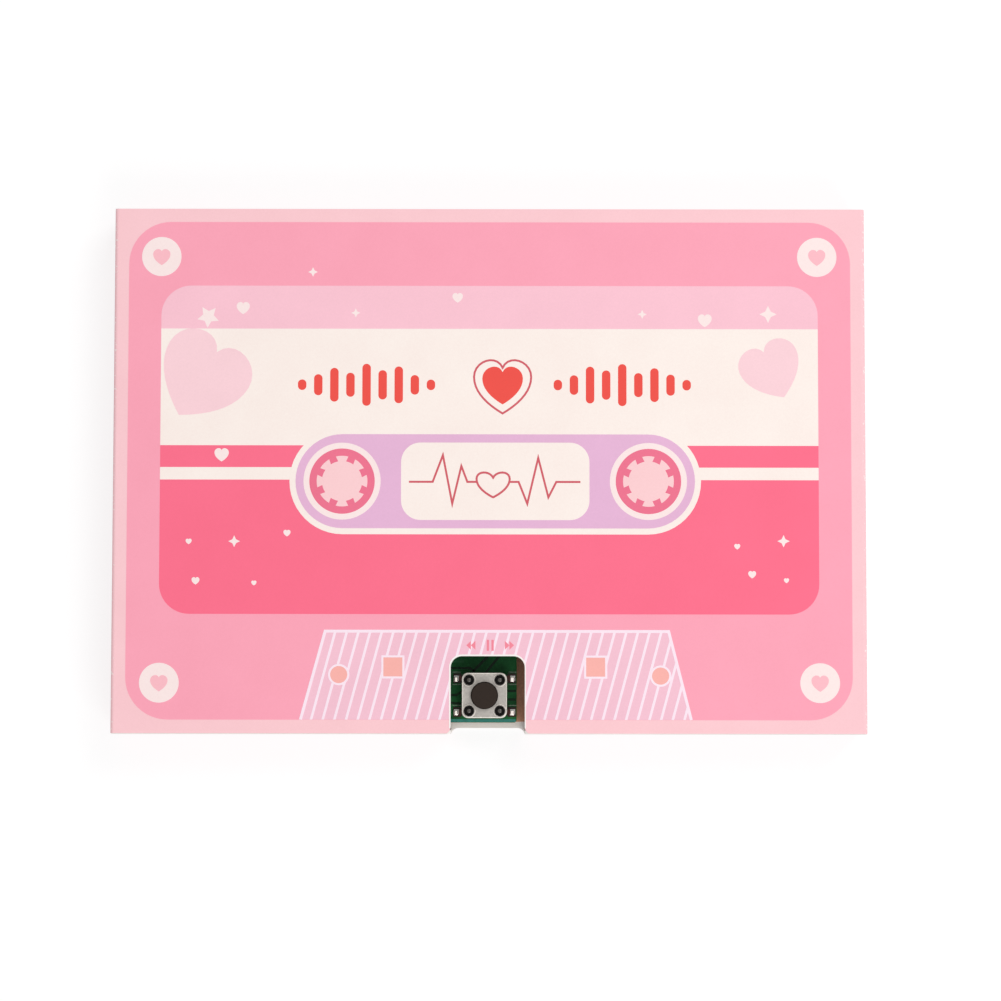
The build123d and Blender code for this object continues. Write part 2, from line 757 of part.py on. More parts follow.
def speaker_film():
    """Diaphragm film: a glued edge, a raised roll, a shallow cone, a ring over the coil and a middle dome."""
    t = film_sheet
    edge = speaker_radius - speaker_rim_width - speaker_sheet - speaker_fit
    seat = edge - film_seat
    roll = seat - film_roll
    coil_edge = coil_radius + coil_wall
    level, dip = film_level(), film_dip()
    crown = dip + film_dome_rise
    arc_radius = (coil_radius ** 2 + film_dome_rise ** 2) / (2 * film_dome_rise)
    shoulder = crown - arc_radius + (arc_radius ** 2 - coil_radius ** 2 / 4) ** 0.5
    half_roll = (seat + roll) / 2
    outline = make_face(
        Line((edge, 0, level), (seat, 0, level))
        + ThreePointArc((seat, 0, level), (half_roll, 0, level + film_roll_rise), (roll, 0, level))
        + Line((roll, 0, level), (coil_edge, 0, dip))
        + Line((coil_edge, 0, dip), (coil_radius, 0, dip))
        + ThreePointArc((coil_radius, 0, dip), (coil_radius / 2, 0, shoulder), (0, 0, crown))
        + Line((0, 0, crown), (0, 0, crown + t))
        + ThreePointArc((0, 0, crown + t), (coil_radius / 2, 0, shoulder + t), (coil_radius, 0, dip + t))
        + Line((coil_radius, 0, dip + t), (coil_edge, 0, dip + t))
        + Line((coil_edge, 0, dip + t), (roll, 0, level + t))
        + ThreePointArc((roll, 0, level + t), (half_roll, 0, level + film_roll_rise + t), (seat, 0, level + t))
        + Line((seat, 0, level + t), (edge, 0, level + t))
        + Line((edge, 0, level + t), (edge, 0, level))
    )
    return Pos(speaker_at[0], speaker_at[1], 0) * revolve(outline, Axis.Z)


def speaker_gasket_ring():
    return ring(speaker_at, speaker_top, panel_under, speaker_radius, speaker_radius - speaker_rim_width)


def speaker_terminal():
    """Small board under the frame's floor, where the two wires are soldered."""
    x0 = terminal_edge()
    y = speaker_at[1] - terminal_from_middle
    return block(x0, x0 + terminal_width, y - terminal_length / 2, y + terminal_length / 2,
                 speaker_floor - terminal_sheet, speaker_floor)


def terminal_edge():
    """X of the terminal board's left edge, whose lower corner stays under the frame's round floor."""
    reach = speaker_radius - speaker_rim_width - terminal_edge_gap
    drop = terminal_from_middle + terminal_length / 2
    return speaker_at[0] - (reach ** 2 - drop ** 2) ** 0.5


def speaker_wire_y(index):
    """Y at which each wire leaves the terminal board."""
    return speaker_at[1] - terminal_from_middle - wire_pitch / 2 + index * wire_pitch


def cell_places():
    return [(holder_at[0] + (n - (cell_count - 1) / 2) * cell_spacing, holder_at[1]) for n in range(cell_count)]


def battery_holder():
    """Shallow moulded tray with a round pocket for each cell and recesses for the lower contacts."""
    x, y = holder_at
    body = rounded_plate(x - holder_length / 2, x + holder_length / 2, y - holder_width / 2, y + holder_width / 2,
                         holder_base, holder_top, holder_corner_radius)
    for place in cell_places():
        body -= disc(place, cell_z, holder_top + 1, cell_radius + cell_fit)
    fit = contact_gap
    z0 = cell_z - contact_sheet
    first, second, last = cell_places()[0], cell_places()[-2], cell_places()[-1]
    half = contact_width / 2 + fit
    body -= block(second[0] - contact_overlap - fit, last[0] + contact_overlap + fit, y - half, y + half, z0,
                  cell_z + fit)
    body -= block(first[0] - half, first[0] + half, y - holder_width / 2 - 1, y + contact_overlap + fit, z0,
                  cell_z + fit)
    return body


def battery_tape_pad():
    x, y = holder_at
    half_x, half_y = holder_length / 2 - tape_margin, holder_width / 2 - tape_margin
    return block(x - half_x, x + half_x, y - half_y, y + half_y, card_sheet, holder_base)


def lower_contacts():
    """Strip under the first cell with a tail out of the holder, and the link under the last two cells."""
    y = holder_at[1]
    z0 = cell_z - contact_sheet
    first, second, last = cell_places()[0], cell_places()[-2], cell_places()[-1]
    half = contact_width / 2
    tail = block(first[0] - half, first[0] + half, y - holder_width / 2 - contact_tail, y + contact_overlap, z0, cell_z)
    link = block(second[0] - contact_overlap, last[0] + contact_overlap, y - half, y + half, z0, cell_z)
    return Compound(children=[tail, link])


def upper_contacts():
    """Link over the first two cells, and the strip over the last cell whose tail bends down outside the holder."""
    y = holder_at[1]
    z1 = cell_top + contact_sheet
    first, second, last = cell_places()[0], cell_places()[1], cell_places()[-1]
    half = contact_width / 2
    link = block(first[0] - contact_overlap, second[0] + contact_overlap, y - half, y + half, cell_top, z1)
    edge = y - holder_width / 2 - contact_gap
    foot = cell_z - contact_sheet
    tail = strip(last[0] - half, last[0] + half, [
        (y + contact_overlap, z1), (edge - contact_sheet, z1), (edge - contact_sheet, cell_z),
        (edge + contact_gap - contact_tail, cell_z), (edge + contact_gap - contact_tail, foot), (edge, foot),
        (edge, cell_top), (y + contact_overlap, cell_top),
    ])
    return Compound(children=[link, tail])


def battery_cell(index):
    """Button cell: a can with a narrower cap, every second one upside down."""
    place = cell_places()[index]
    can = disc((0, 0), 0, cell_thickness - cell_cap_height, cell_radius)
    can = fillet(can.edges().group_by(Axis.Z)[0], cell_edge_radius)
    cap = disc((0, 0), cell_thickness - cell_cap_height, cell_thickness, cell_cap_radius)
    cap = fillet(cap.edges().group_by(Axis.Z)[-1], cell_edge_radius / 2)
    cell = can + cap
    if index % 2:
        cell = Pos(0, 0, cell_thickness) * Rot(180, 0, 0) * cell
    return Pos(*place, cell_z) * cell


def wire(points, radii):
    """Round wire along straight runs joined by arcs."""
    path = FilletPolyline(*points, radius=radii) if radii else Line(*points)
    section = Plane(origin=path @ 0, z_dir=path % 0) * Circle(wire_radius)
    return sweep(section, path=path)


def speaker_wire(index):
    """Wire from the terminal board round to its pad on the circuit board."""
    x0 = terminal_edge()
    y0 = speaker_wire_y(index)
    x1 = speaker_wire_x(index)
    y1 = board_top - wire_end_inset
    radii = speaker_wire_radius + index * wire_pitch
    points = [(x0, y0, wire_z), (x1, y0, wire_z), (x1, y1, wire_z)]
    limit = min(x0 - x1, y0 - y1) * 0.9
    return wire(points, min(radii, limit))


def battery_wire(index):
    """Wire from a contact's tail to its pad on the circuit board."""
    x0 = cell_places()[0 if index == 0 else -1][0]
    x1 = battery_wire_x(index)
    y0 = holder_at[1] - holder_width / 2 - wire_tail_cover
    y1 = board_top - wire_end_inset
    if abs(x1 - x0) < 0.01:
        return wire([(x0, y0, wire_z), (x1, y1, wire_z)], None)
    middle = (y0 + y1) / 2
    step = (y0 - y1) * 0.12
    points = [(x0, y0, wire_z), (x0, middle + step, wire_z), (x1, middle - step, wire_z), (x1, y1, wire_z)]
    return wire(points, battery_wire_bend)


def wire_strip():
    """Foam strip on the back panel that the loudspeaker wires are stuck to."""
    x0 = speaker_wire_x(1) - strip_margin
    x1 = speaker_wire_x(0) + strip_margin
    y0 = board_top + strip_from_board
    return block(x0, x1, y0, y0 + strip_width, card_sheet, wire_z - wire_radius)


NODES = {
    "card_tray": card_tray,
    "front_cover": front_cover,
    "cover_flap": cover_flap,
    "spacer_frame": spacer_frame,
    "inner_panel": inner_panel,
    "circuit_board": circuit_board,
    "board_tape": board_tape_pad,
    "solder_pads": solder_pads,
    "power_switch_base": slide_switch_base,
    "power_switch_shell": slide_switch_shell,
    "power_switch_knob": slide_switch_knob,
    "power_switch_pins": slide_switch_pins,
    "voice_chip": voice_chip,
    "voice_chip_leads": chip_leads,
    "resistors": lambda: small_parts(1),
    "capacitors": lambda: small_parts(0),
    "record_lamp": record_lamp,
    "microphone_can": microphone_can,
    "microphone_screen": microphone_screen,
    "microphone_pins": microphone_pins,
    "speaker_frame": speaker_frame,
    "speaker_pot": speaker_pot,
    "speaker_magnet": speaker_magnet,
    "speaker_pole": speaker_pole,
    "speaker_voice_coil": voice_coil,
    "speaker_film": speaker_film,
    "speaker_gasket": speaker_gasket_ring,
    "speaker_terminal": speaker_terminal,
    "battery_holder": battery_holder,
    "battery_tape": battery_tape_pad,
    "battery_lower_contacts": lower_contacts,
    "battery_upper_contacts": upper_contacts,
    "wire_strip": wire_strip,
}
for name, at in (("play", play_at), ("record", record_at)):
    NODES[name + "_switch_base"] = lambda at=at: switch_base(at)
    NODES[name + "_switch_cover"] = lambda at=at: switch_cover(at)
    NODES[name + "_switch_dome"] = lambda at=at: switch_dome(at)
    NODES[name + "_switch_legs"] = lambda at=at: switch_legs(at)
    NODES[name + "_button"] = lambda at=at: switch_button(at)
for index in range(cell_count):
    NODES[f"battery_cell_{index + 1}"] = lambda index=index: battery_cell(index)
for index, polarity in enumerate(("negative", "positive")):
    NODES["battery_wire_" + polarity] = lambda index=index: battery_wire(index)
    NODES["speaker_wire_" + polarity] = lambda index=index: speaker_wire(index)

os.makedirs("parts", exist_ok=True)
for name, make in NODES.items():
    export_step(make(), f"parts/{name}.step")
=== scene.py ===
"""Prints, finishes and lights a recordable greeting card around its packed model.

Pieces are modelled in millimetres and scaled to metres as they are finished.
"""

from math import cos, pi, radians, sin, sqrt
from types import SimpleNamespace

import bmesh
import bpy
from bpy.props import FloatProperty, FloatVectorProperty, PointerProperty
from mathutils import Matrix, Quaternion, Vector


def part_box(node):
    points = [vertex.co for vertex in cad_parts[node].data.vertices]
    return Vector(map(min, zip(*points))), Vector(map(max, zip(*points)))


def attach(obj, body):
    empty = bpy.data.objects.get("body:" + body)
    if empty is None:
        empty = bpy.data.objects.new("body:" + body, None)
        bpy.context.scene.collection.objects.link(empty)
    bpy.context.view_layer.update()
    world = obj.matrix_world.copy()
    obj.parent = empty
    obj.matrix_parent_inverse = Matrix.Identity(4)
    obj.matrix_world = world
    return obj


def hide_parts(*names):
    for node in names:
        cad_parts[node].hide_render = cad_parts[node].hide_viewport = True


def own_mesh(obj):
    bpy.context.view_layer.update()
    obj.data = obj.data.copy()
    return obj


bl_info = {
    "name": "Recordable greeting card",
    "version": (1, 0, 0),
    "blender": (4, 5, 0),
    "location": "3D View > Sidebar > Greeting card",
    "description": "Prints and finishes a folded card with a voice recorder inside",
    "category": "Object",
}

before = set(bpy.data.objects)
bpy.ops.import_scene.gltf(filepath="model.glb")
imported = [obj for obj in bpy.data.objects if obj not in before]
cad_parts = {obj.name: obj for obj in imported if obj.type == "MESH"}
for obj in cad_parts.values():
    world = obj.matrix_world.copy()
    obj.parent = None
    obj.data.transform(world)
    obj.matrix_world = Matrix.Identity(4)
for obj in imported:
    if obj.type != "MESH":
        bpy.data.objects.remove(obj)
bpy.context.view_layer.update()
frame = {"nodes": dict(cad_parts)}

MM = 0.001

# Thickness of the cover, ink steps that a printed layer reaches below its face, and how round a round end is
CARD_SHEET, SUNK_STEPS, ROUND_END = 0.5, 2, 0.999


def box_mm(node):
    """Lowest and highest corner of a CAD node in millimetres."""
    low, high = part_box(node)
    return low / MM, high / MM


cover_high, panel_high = box_mm("front_cover")[1], box_mm("inner_panel")[1]
board_low, board_high = box_mm("circuit_board")
PLATE_TOP = box_mm("play_switch_cover")[1].z

# The die-cut notch: its sides, its depth from the edge of the card and the radius of its far corners
NOTCH_LEFT, NOTCH_RIGHT, NOTCH_DEPTH, NOTCH_CORNER = -5.07, 4.73, 10.3, 1.5

# Each printed or etched face: its height, the way it looks, the body that carries it and its material slot
FACES = {
    "front": (cover_high.z, 1, "cover", "cover_card"),
    "inside": (cover_high.z - CARD_SHEET, -1, "cover", "cover_card"),
    "back": (0.0, -1, "case", "tray_card"),
    "panel": (panel_high.z, 1, "case", "panel_card"),
    "board": (board_high.z, 1, "case", "green_board"),
}


def middle(node):
    """Plan centre of a CAD node in millimetres."""
    low, high = box_mm(node)
    return (low.x + high.x) / 2, (low.y + high.y) / 2


def linear(code):
    """Linear colour of a screen colour written as #rrggbb."""
    values = [int(code[i:i + 2], 16) / 255 for i in (1, 3, 5)]
    return tuple(v / 12.92 if v <= 0.04045 else ((v + 0.055) / 1.055) ** 2.4 for v in values)


def size_of(label, about, millimetres):
    return FloatProperty(name=label, description=about, default=millimetres * MM, min=0.0, precision=5,
                         subtype="DISTANCE", unit="LENGTH")


def colour_of(label, about, code):
    return FloatVectorProperty(name=label, description=about, default=linear(code), size=3, min=0.0, max=1.0,
                               subtype="COLOR")


def number_of(label, about, value, low, high):
    return FloatProperty(name=label, description=about, default=value, min=low, max=high)


# Values that a user would change

class CardPrintSizes(bpy.types.PropertyGroup):
    """Sizes of the printed design."""

    ink: size_of("Ink step", "Height from one printed layer to the next", 0.008)
    frame_length: size_of("Frame length", "Length of the round-cornered frame", 96.1)
    frame_height: size_of("Frame height", "Height of the round-cornered frame", 66.2)
    frame_corner: size_of("Frame corner", "Corner radius of the frame", 5.6)
    label_length: size_of("Label length", "Length of the banded label", 87.4)
    label_corner: size_of("Label corner", "Corner radius of the label", 4.0)
    capsule_length: size_of("Capsule length", "Length of the capsule without its border", 53.0)
    capsule_height: size_of("Capsule height", "Height of the capsule without its border", 12.5)
    capsule_border: size_of("Capsule border", "Width of the pale line round the capsule", 0.8)
    window_length: size_of("Window length", "Length of the pale window", 25.0)
    window_height: size_of("Window height", "Height of the pale window", 10.3)
    window_corner: size_of("Window corner", "Corner radius of the window", 2.6)
    reel_spacing: size_of("Reel spacing", "Distance between the two toothed hubs", 40.65)
    reel_ring: size_of("Reel ring", "Radius of the pale ring", 5.12)
    reel_disc: size_of("Reel disc", "Radius of the dark disc", 4.34)
    reel_hub: size_of("Reel hub", "Radius of the toothed hub", 2.67)
    reel_tooth: size_of("Reel tooth", "Length of each tooth", 0.69)
    corner_disc: size_of("Corner disc", "Radius of the pale disc in each corner", 2.63)
    hatch_pitch: size_of("Hatch pitch", "Distance between the slanting lines", 1.54)
    hatch_line: size_of("Hatch line", "Width of the slanting lines", 0.35)
    line: size_of("Drawn line", "Width of the drawn lines", 0.27)


class CardPrintColours(bpy.types.PropertyGroup):
    """Colours of the printed design."""

    border: colour_of("Border", "Pale pink round the frame and on the sides", "#fecbd1")
    frame: colour_of("Frame", "Pink of the frame", "#ffa5b9")
    lilac: colour_of("Upper band", "Cool pale pink of the upper band", "#fcc5d3")
    cream: colour_of("Cream", "Cream of the wide band and the window", "#fff0e9")
    white: colour_of("White", "Warm white of the small figures", "#ffe9e7")
    rose: colour_of("Rose", "Strong pink of the lower band", "#ff708d")
    reel: colour_of("Reel", "Duller pink of the discs under the hubs", "#ef7490")
    capsule: colour_of("Capsule", "Lilac of the capsule", "#e7b6d7")
    hub: colour_of("Hub", "Pale pink of the toothed hubs", "#ffd0d3")
    blush: colour_of("Blush", "Pale pink of the large hearts", "#fcd3da")
    bloom: colour_of("Bloom", "Pink of the hearts in the corner discs", "#febdc7")
    hatch: colour_of("Hatch ground", "Mauve pink under the slanting lines", "#f6c3d3")
    hatch_line: colour_of("Hatch line", "Pale line of the hatch", "#ffe8f3")
    salmon: colour_of("Salmon", "Salmon of the dots and squares", "#fbb4ac")
    symbol: colour_of("Symbol", "Pink of the playback symbols", "#f58a9c")
    pulse: colour_of("Pulse", "Red of the pulse line", "#d25f69")
    red: colour_of("Red", "Red of the middle heart and the writing lines", "#ef5148")


class CardModuleColours(bpy.types.PropertyGroup):
    """Colours of the card stock and the sound module."""

    stock: colour_of("Card stock", "White of the unprinted card", "#faf5f1")
    greyboard: colour_of("Greyboard", "Raw spacer board", "#9d8a78")
    board: colour_of("Board", "Green of the circuit board", "#256237")
    copper: colour_of("Copper under green", "Green where copper lies under it", "#2c7446")
    plate: colour_of("Switch plate", "Satin metal of the push switches", "#c2bcb5")
    moulding: colour_of("Moulding", "Black of the moulded parts", "#0f0d0c")
    button: colour_of("Button", "Brown black of the push buttons", "#302722")
    tin: colour_of("Tin", "Tinned metal", "#d3d2cd")
    flux: colour_of("Flux", "Dark brown round the soldered feet", "#35160f")
    red_wire: colour_of("Red wire", "Insulation of the positive wires", "#b3201c")
    lamp: colour_of("Lamp", "Tinted lens of the lamp", "#c8171a")


class CardStage(bpy.types.PropertyGroup):
    """Floor, light and camera."""

    floor: size_of("Floor size", "Length and width of the floor", 3000.0)
    sky: number_of("Sky", "Level of the soft light from all round", 0.55, 0.0, 2.0)
    key: number_of("Key light", "Power of the soft lamp at the upper right", 1.40, 0.0, 20.0)
    fill: number_of("Fill light", "Power of the soft lamp at the lower right", 1.6, 0.0, 20.0)
    lens: number_of("Lens", "Focal length", 94.62, 20.0, 300.0)


def in_mm(group):
    """The values of a group of sizes in millimetres."""
    return SimpleNamespace(**{name: getattr(group, name) / MM for name in group.__annotations__})


# Shader maths and materials

def maths(operation, swapped=False):
    """A method that adds a Math node to the value and another one."""
    def method(self, other=0.0):
        first, second = (other, self) if swapped else (self, other)
        return self.finish.node("ShaderNodeMath", {"operation": operation}, {0: first, 1: second})
    return method


class Socket:
    """A shader output that turns Python expressions into Math nodes."""

    def __init__(self, finish, plug):
        self.finish, self.plug = finish, plug

    __add__ = __radd__ = maths("ADD")
    __mul__ = __rmul__ = maths("MULTIPLY")
    __sub__, __rsub__ = maths("SUBTRACT"), maths("SUBTRACT", swapped=True)
    __gt__, __lt__ = maths("GREATER_THAN"), maths("LESS_THAN")
    __or__, __and__ = maths("MAXIMUM"), maths("MINIMUM")
    __abs__ = maths("ABSOLUTE")


class Nodes:
    """Adds nodes to a tree of shader nodes."""

    def __init__(self, tree):
        self.tree = tree

    def node(self, kind, settings=None, values=None, out=0):
        """Adds a node from its type, its settings and the values or links of its sockets."""
        made = self.tree.nodes.new(kind)
        for key, value in (settings or {}).items():
            setattr(made, key, value)
        self.join(made, values or {})
        return Socket(self, made.outputs[out])

    def join(self, made, values):
        for key, value in values.items():
            if isinstance(value, Socket):
                self.tree.links.new(value.plug, made.inputs[key])
            elif isinstance(value, tuple) and made.inputs[key].type == "RGBA":
                made.inputs[key].default_value = (*value[:3], 1.0)
            else:
                made.inputs[key].default_value = value

    def parts(self, kind, values=None):
        """Every output of a node."""
        made = self.tree.nodes.new(kind)
        self.join(made, values or {})
        return [Socket(self, plug) for plug in made.outputs]

    def mix(self, first, second, share):
        return self.node("ShaderNodeMix", {"data_type": "RGBA"}, {0: share, 6: first, 7: second}, out=2)

    def ramp(self, value, low, high, first=0.0, last=1.0):
        """value taken from low to high, as a number from first to last."""
        return self.node("ShaderNodeMapRange", values={0: value, 1: low, 2: high, 3: first, 4: last})

    def backdrop(self):
        """1 for rays from the camera, from gloss and through glass."""
        made = self.tree.nodes.new("ShaderNodeLightPath")
        camera, glossy, through = [Socket(self, made.outputs["Is %s Ray" % kind])
                                   for kind in ("Camera", "Glossy", "Transmission")]
        return camera | glossy | through


class Finish(Nodes):
    """A material built from nodes around one Principled shader."""

    def __init__(self, name, constants=None):
        self.material = bpy.data.materials.new(name)
        self.material.use_nodes = True
        super().__init__(self.material.node_tree)
        self.shader = self.tree.nodes["Principled BSDF"]
        self.feed(constants or {})
        self.place = self.node("ShaderNodeTexCoord", out="Object")

    def feed(self, values):
        """Sets or links the sockets of the shader."""
        self.join(self.shader, values)

    def stretch(self, by):
        return self.node("ShaderNodeVectorMath", {"operation": "MULTIPLY"}, {0: self.place, 1: Vector(by)})

    def spread(self, value, first=0.0, last=1.0):
        """A noise taken over the range where most of it lies, as a number from first to last."""
        return self.ramp(value, 0.3, 0.7, first, last)

    def tones(self, colour, dark, light, share):
        """A darker and a lighter tone of one colour, mixed by share."""
        return self.mix(lighter(colour, dark), lighter(colour, light), share)

    def axes(self):
        """Object coordinates in millimetres."""
        return self.parts("ShaderNodeSeparateXYZ", {0: self.stretch((1 / MM,) * 3)})

    def noise(self, size, detail=2.0, stretch=(1.0, 1.0, 1.0)):
        """Cloudy pattern whose marks are about that many millimetres across."""
        values = {"Vector": self.stretch(stretch), "Scale": 1 / (size * MM), "Detail": detail}
        return self.node("ShaderNodeTexNoise", values=values, out="Fac")

    def cells(self, size):
        values = {"Vector": self.place, "Scale": 1 / (size * MM)}
        return self.node("ShaderNodeTexVoronoi", values=values, out="Distance")

    def relief(self, height, depth):
        """Bump whose full height is depth millimetres."""
        values = {"Strength": 1.0, "Distance": depth * MM, "Height": height}
        self.feed({"Normal": self.node("ShaderNodeBump", values=values, out="Normal")})


def lighter(colour, by):
    return tuple(min(1.0, max(0.0, c * by)) for c in colour)


# Gloss of matt card, printed or not
CARD_GLOSS = {"Specular IOR Level": 0.25}


def card_grain(finish, depth=0.006):
    """Fine tooth of matt card, its faint clouds and its roughness. Returns the tooth and the clouds."""
    tooth = finish.noise(0.22, 3.0)
    cloud = finish.noise(7.0, 3.0)
    fibre = finish.noise(0.5, 2.0, (1.0, 0.35, 1.0))
    finish.relief(tooth * 0.7 + fibre * 0.3, depth)
    finish.feed({"Roughness": finish.spread(tooth, 0.52, 0.68)})
    return tooth, cloud


def inked(finish, colour, tooth, cloud, tone=0.035):
    """A printed colour, uneven with the tooth and the clouds."""
    return finish.tones(colour, 1 - tone, 1 + tone, finish.spread(tooth * 0.5 + cloud * 0.5))


def ink(name, colour=None):
    """Material of a printed layer, made once for each ink. A colour that isn't given is the print's own."""
    known = bpy.data.materials.get("ink_" + name)
    if known:
        return known
    finish = Finish("ink_" + name, CARD_GLOSS)
    tooth, cloud = card_grain(finish)
    colour = colour or getattr(bpy.context.scene.card_colours, name)
    finish.feed({"Base Color": inked(finish, tuple(colour), tooth, cloud)})
    return finish.material


def plain_finish(name, colour, roughness, metallic=0.0, grain=0.4, depth=0.004, drift=0.12, polish=0.12,
                 stretch=(1.0, 1.0, 1.0), constants=None):
    """Finish of one stuff: a colour that drifts with its grain, uneven polish and a shallow relief."""
    finish = Finish(name, {"Metallic": metallic, **(constants or {})})
    fine = finish.noise(grain, 3.0, stretch)
    broad = finish.noise(grain * 9, 2.0)
    share = finish.spread(fine * 0.6 + broad * 0.4)
    finish.feed({
        "Base Color": finish.tones(colour, 1 - drift, 1 + drift, share),
        "Roughness": finish.spread(broad * 0.5 + fine * 0.5, roughness - polish / 2, roughness + polish / 2),
    })
    finish.relief(fine, depth)
    return finish.material


def coat_node(node, material):
    """Gives a CAD node its material."""
    mesh = frame["nodes"][node].data
    mesh.materials.clear()
    mesh.materials.append(material)


# Modelling

def only(obj):
    """Makes obj the one selected and active object."""
    bpy.ops.object.select_all(action="DESELECT")
    obj.select_set(True)
    bpy.context.view_layer.objects.active = obj
    return obj


class Editing:
    """Edit mode on one object, with all of it selected."""

    def __init__(self, obj):
        self.obj = obj

    def __enter__(self):
        only(self.obj)
        bpy.ops.object.mode_set(mode="EDIT")
        bpy.ops.mesh.select_all(action="SELECT")
        return self

    def __exit__(self, *_):
        bpy.ops.object.mode_set(mode="OBJECT")

    def choose(self, test):
        """Selects the vertices that pass a test."""
        bpy.ops.mesh.select_mode(type="VERT")
        bpy.ops.mesh.select_all(action="DESELECT")
        mesh = bmesh.from_edit_mesh(self.obj.data)
        for vert in mesh.verts:
            if test(vert):
                vert.select_set(True)
        mesh.select_flush_mode()
        bmesh.update_edit_mesh(self.obj.data)


def settle(obj):
    """Puts the place, turn and scale of obj into its mesh."""
    only(obj)
    bpy.ops.object.transform_apply(location=True, rotation=True, scale=True)
    return obj


def join(pieces):
    """Joins pieces into the first."""
    for piece in pieces:
        settle(piece)
    bpy.ops.object.select_all(action="DESELECT")
    for piece in pieces:
        piece.select_set(True)
    bpy.context.view_layer.objects.active = pieces[0]
    if len(pieces) > 1:
        bpy.ops.object.join()
    return pieces[0]


def as_mesh(obj):
    only(obj)
    bpy.ops.object.convert(target="MESH")
    return bpy.context.view_layer.objects.active


def modify(obj, kind, **settings):
    """Applies a modifier to obj."""
    only(obj)
    made = obj.modifiers.new("change", kind)
    for key, value in settings.items():
        setattr(made, key, value)
    bpy.ops.object.modifier_apply(modifier=made.name)


def plate(x0, x1, y0, y1, corner=0.0, corners=None):
    """Flat rectangle with round corners, or with only those that pass a test."""
    bpy.ops.mesh.primitive_plane_add(size=1, location=((x0 + x1) / 2, (y0 + y1) / 2, 0))
    obj = bpy.context.object
    obj.scale = (x1 - x0, y1 - y0, 1)
    settle(obj)
    if corner:
        with Editing(obj) as edit:
            edit.choose(corners or (lambda vert: True))
            bpy.ops.mesh.bevel(offset=corner, segments=12, affect="VERTICES")
    return obj


def centred_plate(length, width, corner=0.0, x=0.0, y=0.0):
    """Flat rectangle round a centre."""
    return plate(x - length / 2, x + length / 2, y - width / 2, y + width / 2, corner)


def disc(x, y, radius, count=64):
    bpy.ops.mesh.primitive_circle_add(vertices=count, radius=radius, fill_type="NGON", location=(x, y, 0))
    return settle(bpy.context.object)


def thicken(obj, height):
    """Draws a flat shape out along Z into a closed solid."""
    with Editing(obj):
        bpy.ops.mesh.extrude_region_move(TRANSFORM_OT_translate={"value": (0, 0, height)})
        bpy.ops.mesh.select_all(action="SELECT")
        bpy.ops.mesh.normals_make_consistent(inside=False)
    return obj


def raised(obj, height):
    """Lifts obj along Z."""
    obj.location.z = height
    return settle(obj)


def lathe(profile, segments=32):
    """Turned solid round the Z axis, from radius and height points that start and end on the axis."""
    obj = wire(profile)
    obj.rotation_euler.x = pi / 2
    settle(obj)
    with Editing(obj):
        bpy.ops.mesh.spin(steps=segments, angle=2 * pi, center=(0, 0, 0), axis=(0, 0, 1))
        bpy.ops.mesh.select_all(action="SELECT")
        bpy.ops.mesh.remove_doubles(threshold=0.0005)
        bpy.ops.mesh.normals_make_consistent(inside=False)
    return obj


def annulus(x, y, inner, outer, count=72):
    """Flat ring."""
    bpy.ops.mesh.primitive_circle_add(vertices=count, radius=inner, location=(x, y, 0))
    obj = settle(bpy.context.object)
    with Editing(obj):
        bpy.ops.mesh.extrude_edges_move()
        bpy.ops.transform.resize(value=(outer / inner, outer / inner, 1), center_override=(x, y, 0))
    return obj


def figure(size, count, waist):
    """Flat star at the origin: a circle whose every second point is drawn in."""
    bpy.ops.mesh.primitive_circle_add(vertices=count * 2, radius=size, fill_type="NGON")
    obj = bpy.context.object
    with Editing(obj) as edit:
        inner = {2 * n + 1 for n in range(count)}
        edit.choose(lambda vert: vert.index in inner)
        bpy.ops.transform.resize(value=(waist, waist, 1), center_override=(0, 0, 0))
    return obj


def heart_curve(width, tall=1.0, dip=0.6):
    """Heart drawn from a four-point round curve, as wide as width."""
    bpy.ops.curve.primitive_bezier_circle_add(radius=1)
    obj = bpy.context.object
    spots = [
        ((-1.0, 0.28), (-1.0, -0.30), (-1.0, 0.86)),
        ((0.0, dip), (-0.20, dip + 0.5), (0.20, dip + 0.5)),
        ((1.0, 0.28), (1.0, 0.86), (1.0, -0.30)),
        ((0.0, -1.0), (0.44, -0.74), (-0.44, -0.74)),
    ]
    for point, (spot, before, after) in zip(obj.data.splines[0].bezier_points, spots):
        point.handle_left_type = point.handle_right_type = "FREE"
        point.co, point.handle_left, point.handle_right = (*spot, 0), (*before, 0), (*after, 0)
    obj.scale = (width / 2, tall * width / 2, 1)
    obj.data.resolution_u = 10
    return obj


def heart(width):
    """Flat heart at the origin."""
    obj = heart_curve(width)
    obj.data.dimensions = "2D"
    obj.data.fill_mode = "BOTH"
    obj = settle(as_mesh(obj))
    with Editing(obj):
        bpy.ops.mesh.remove_doubles(threshold=0.0001)
    return obj


def wire(points, closed=False):
    """Wire along points."""
    curve = bpy.data.curves.new("line", "CURVE")
    spline = curve.splines.new("POLY")
    spline.points.add(len(points) - 1)
    for point, (x, y) in zip(spline.points, points):
        point.co = (x, y, 0, 1)
    spline.use_cyclic_u = closed
    obj = bpy.data.objects.new("line", curve)
    bpy.context.scene.collection.objects.link(obj)
    return settle(as_mesh(obj))


def heart_wire(x, y, width, tall=1.0, dip=0.6):
    """Wire along the outline of a heart."""
    obj = heart_curve(width, tall, dip)
    obj.location = (x, y, 0)
    return settle(as_mesh(obj))


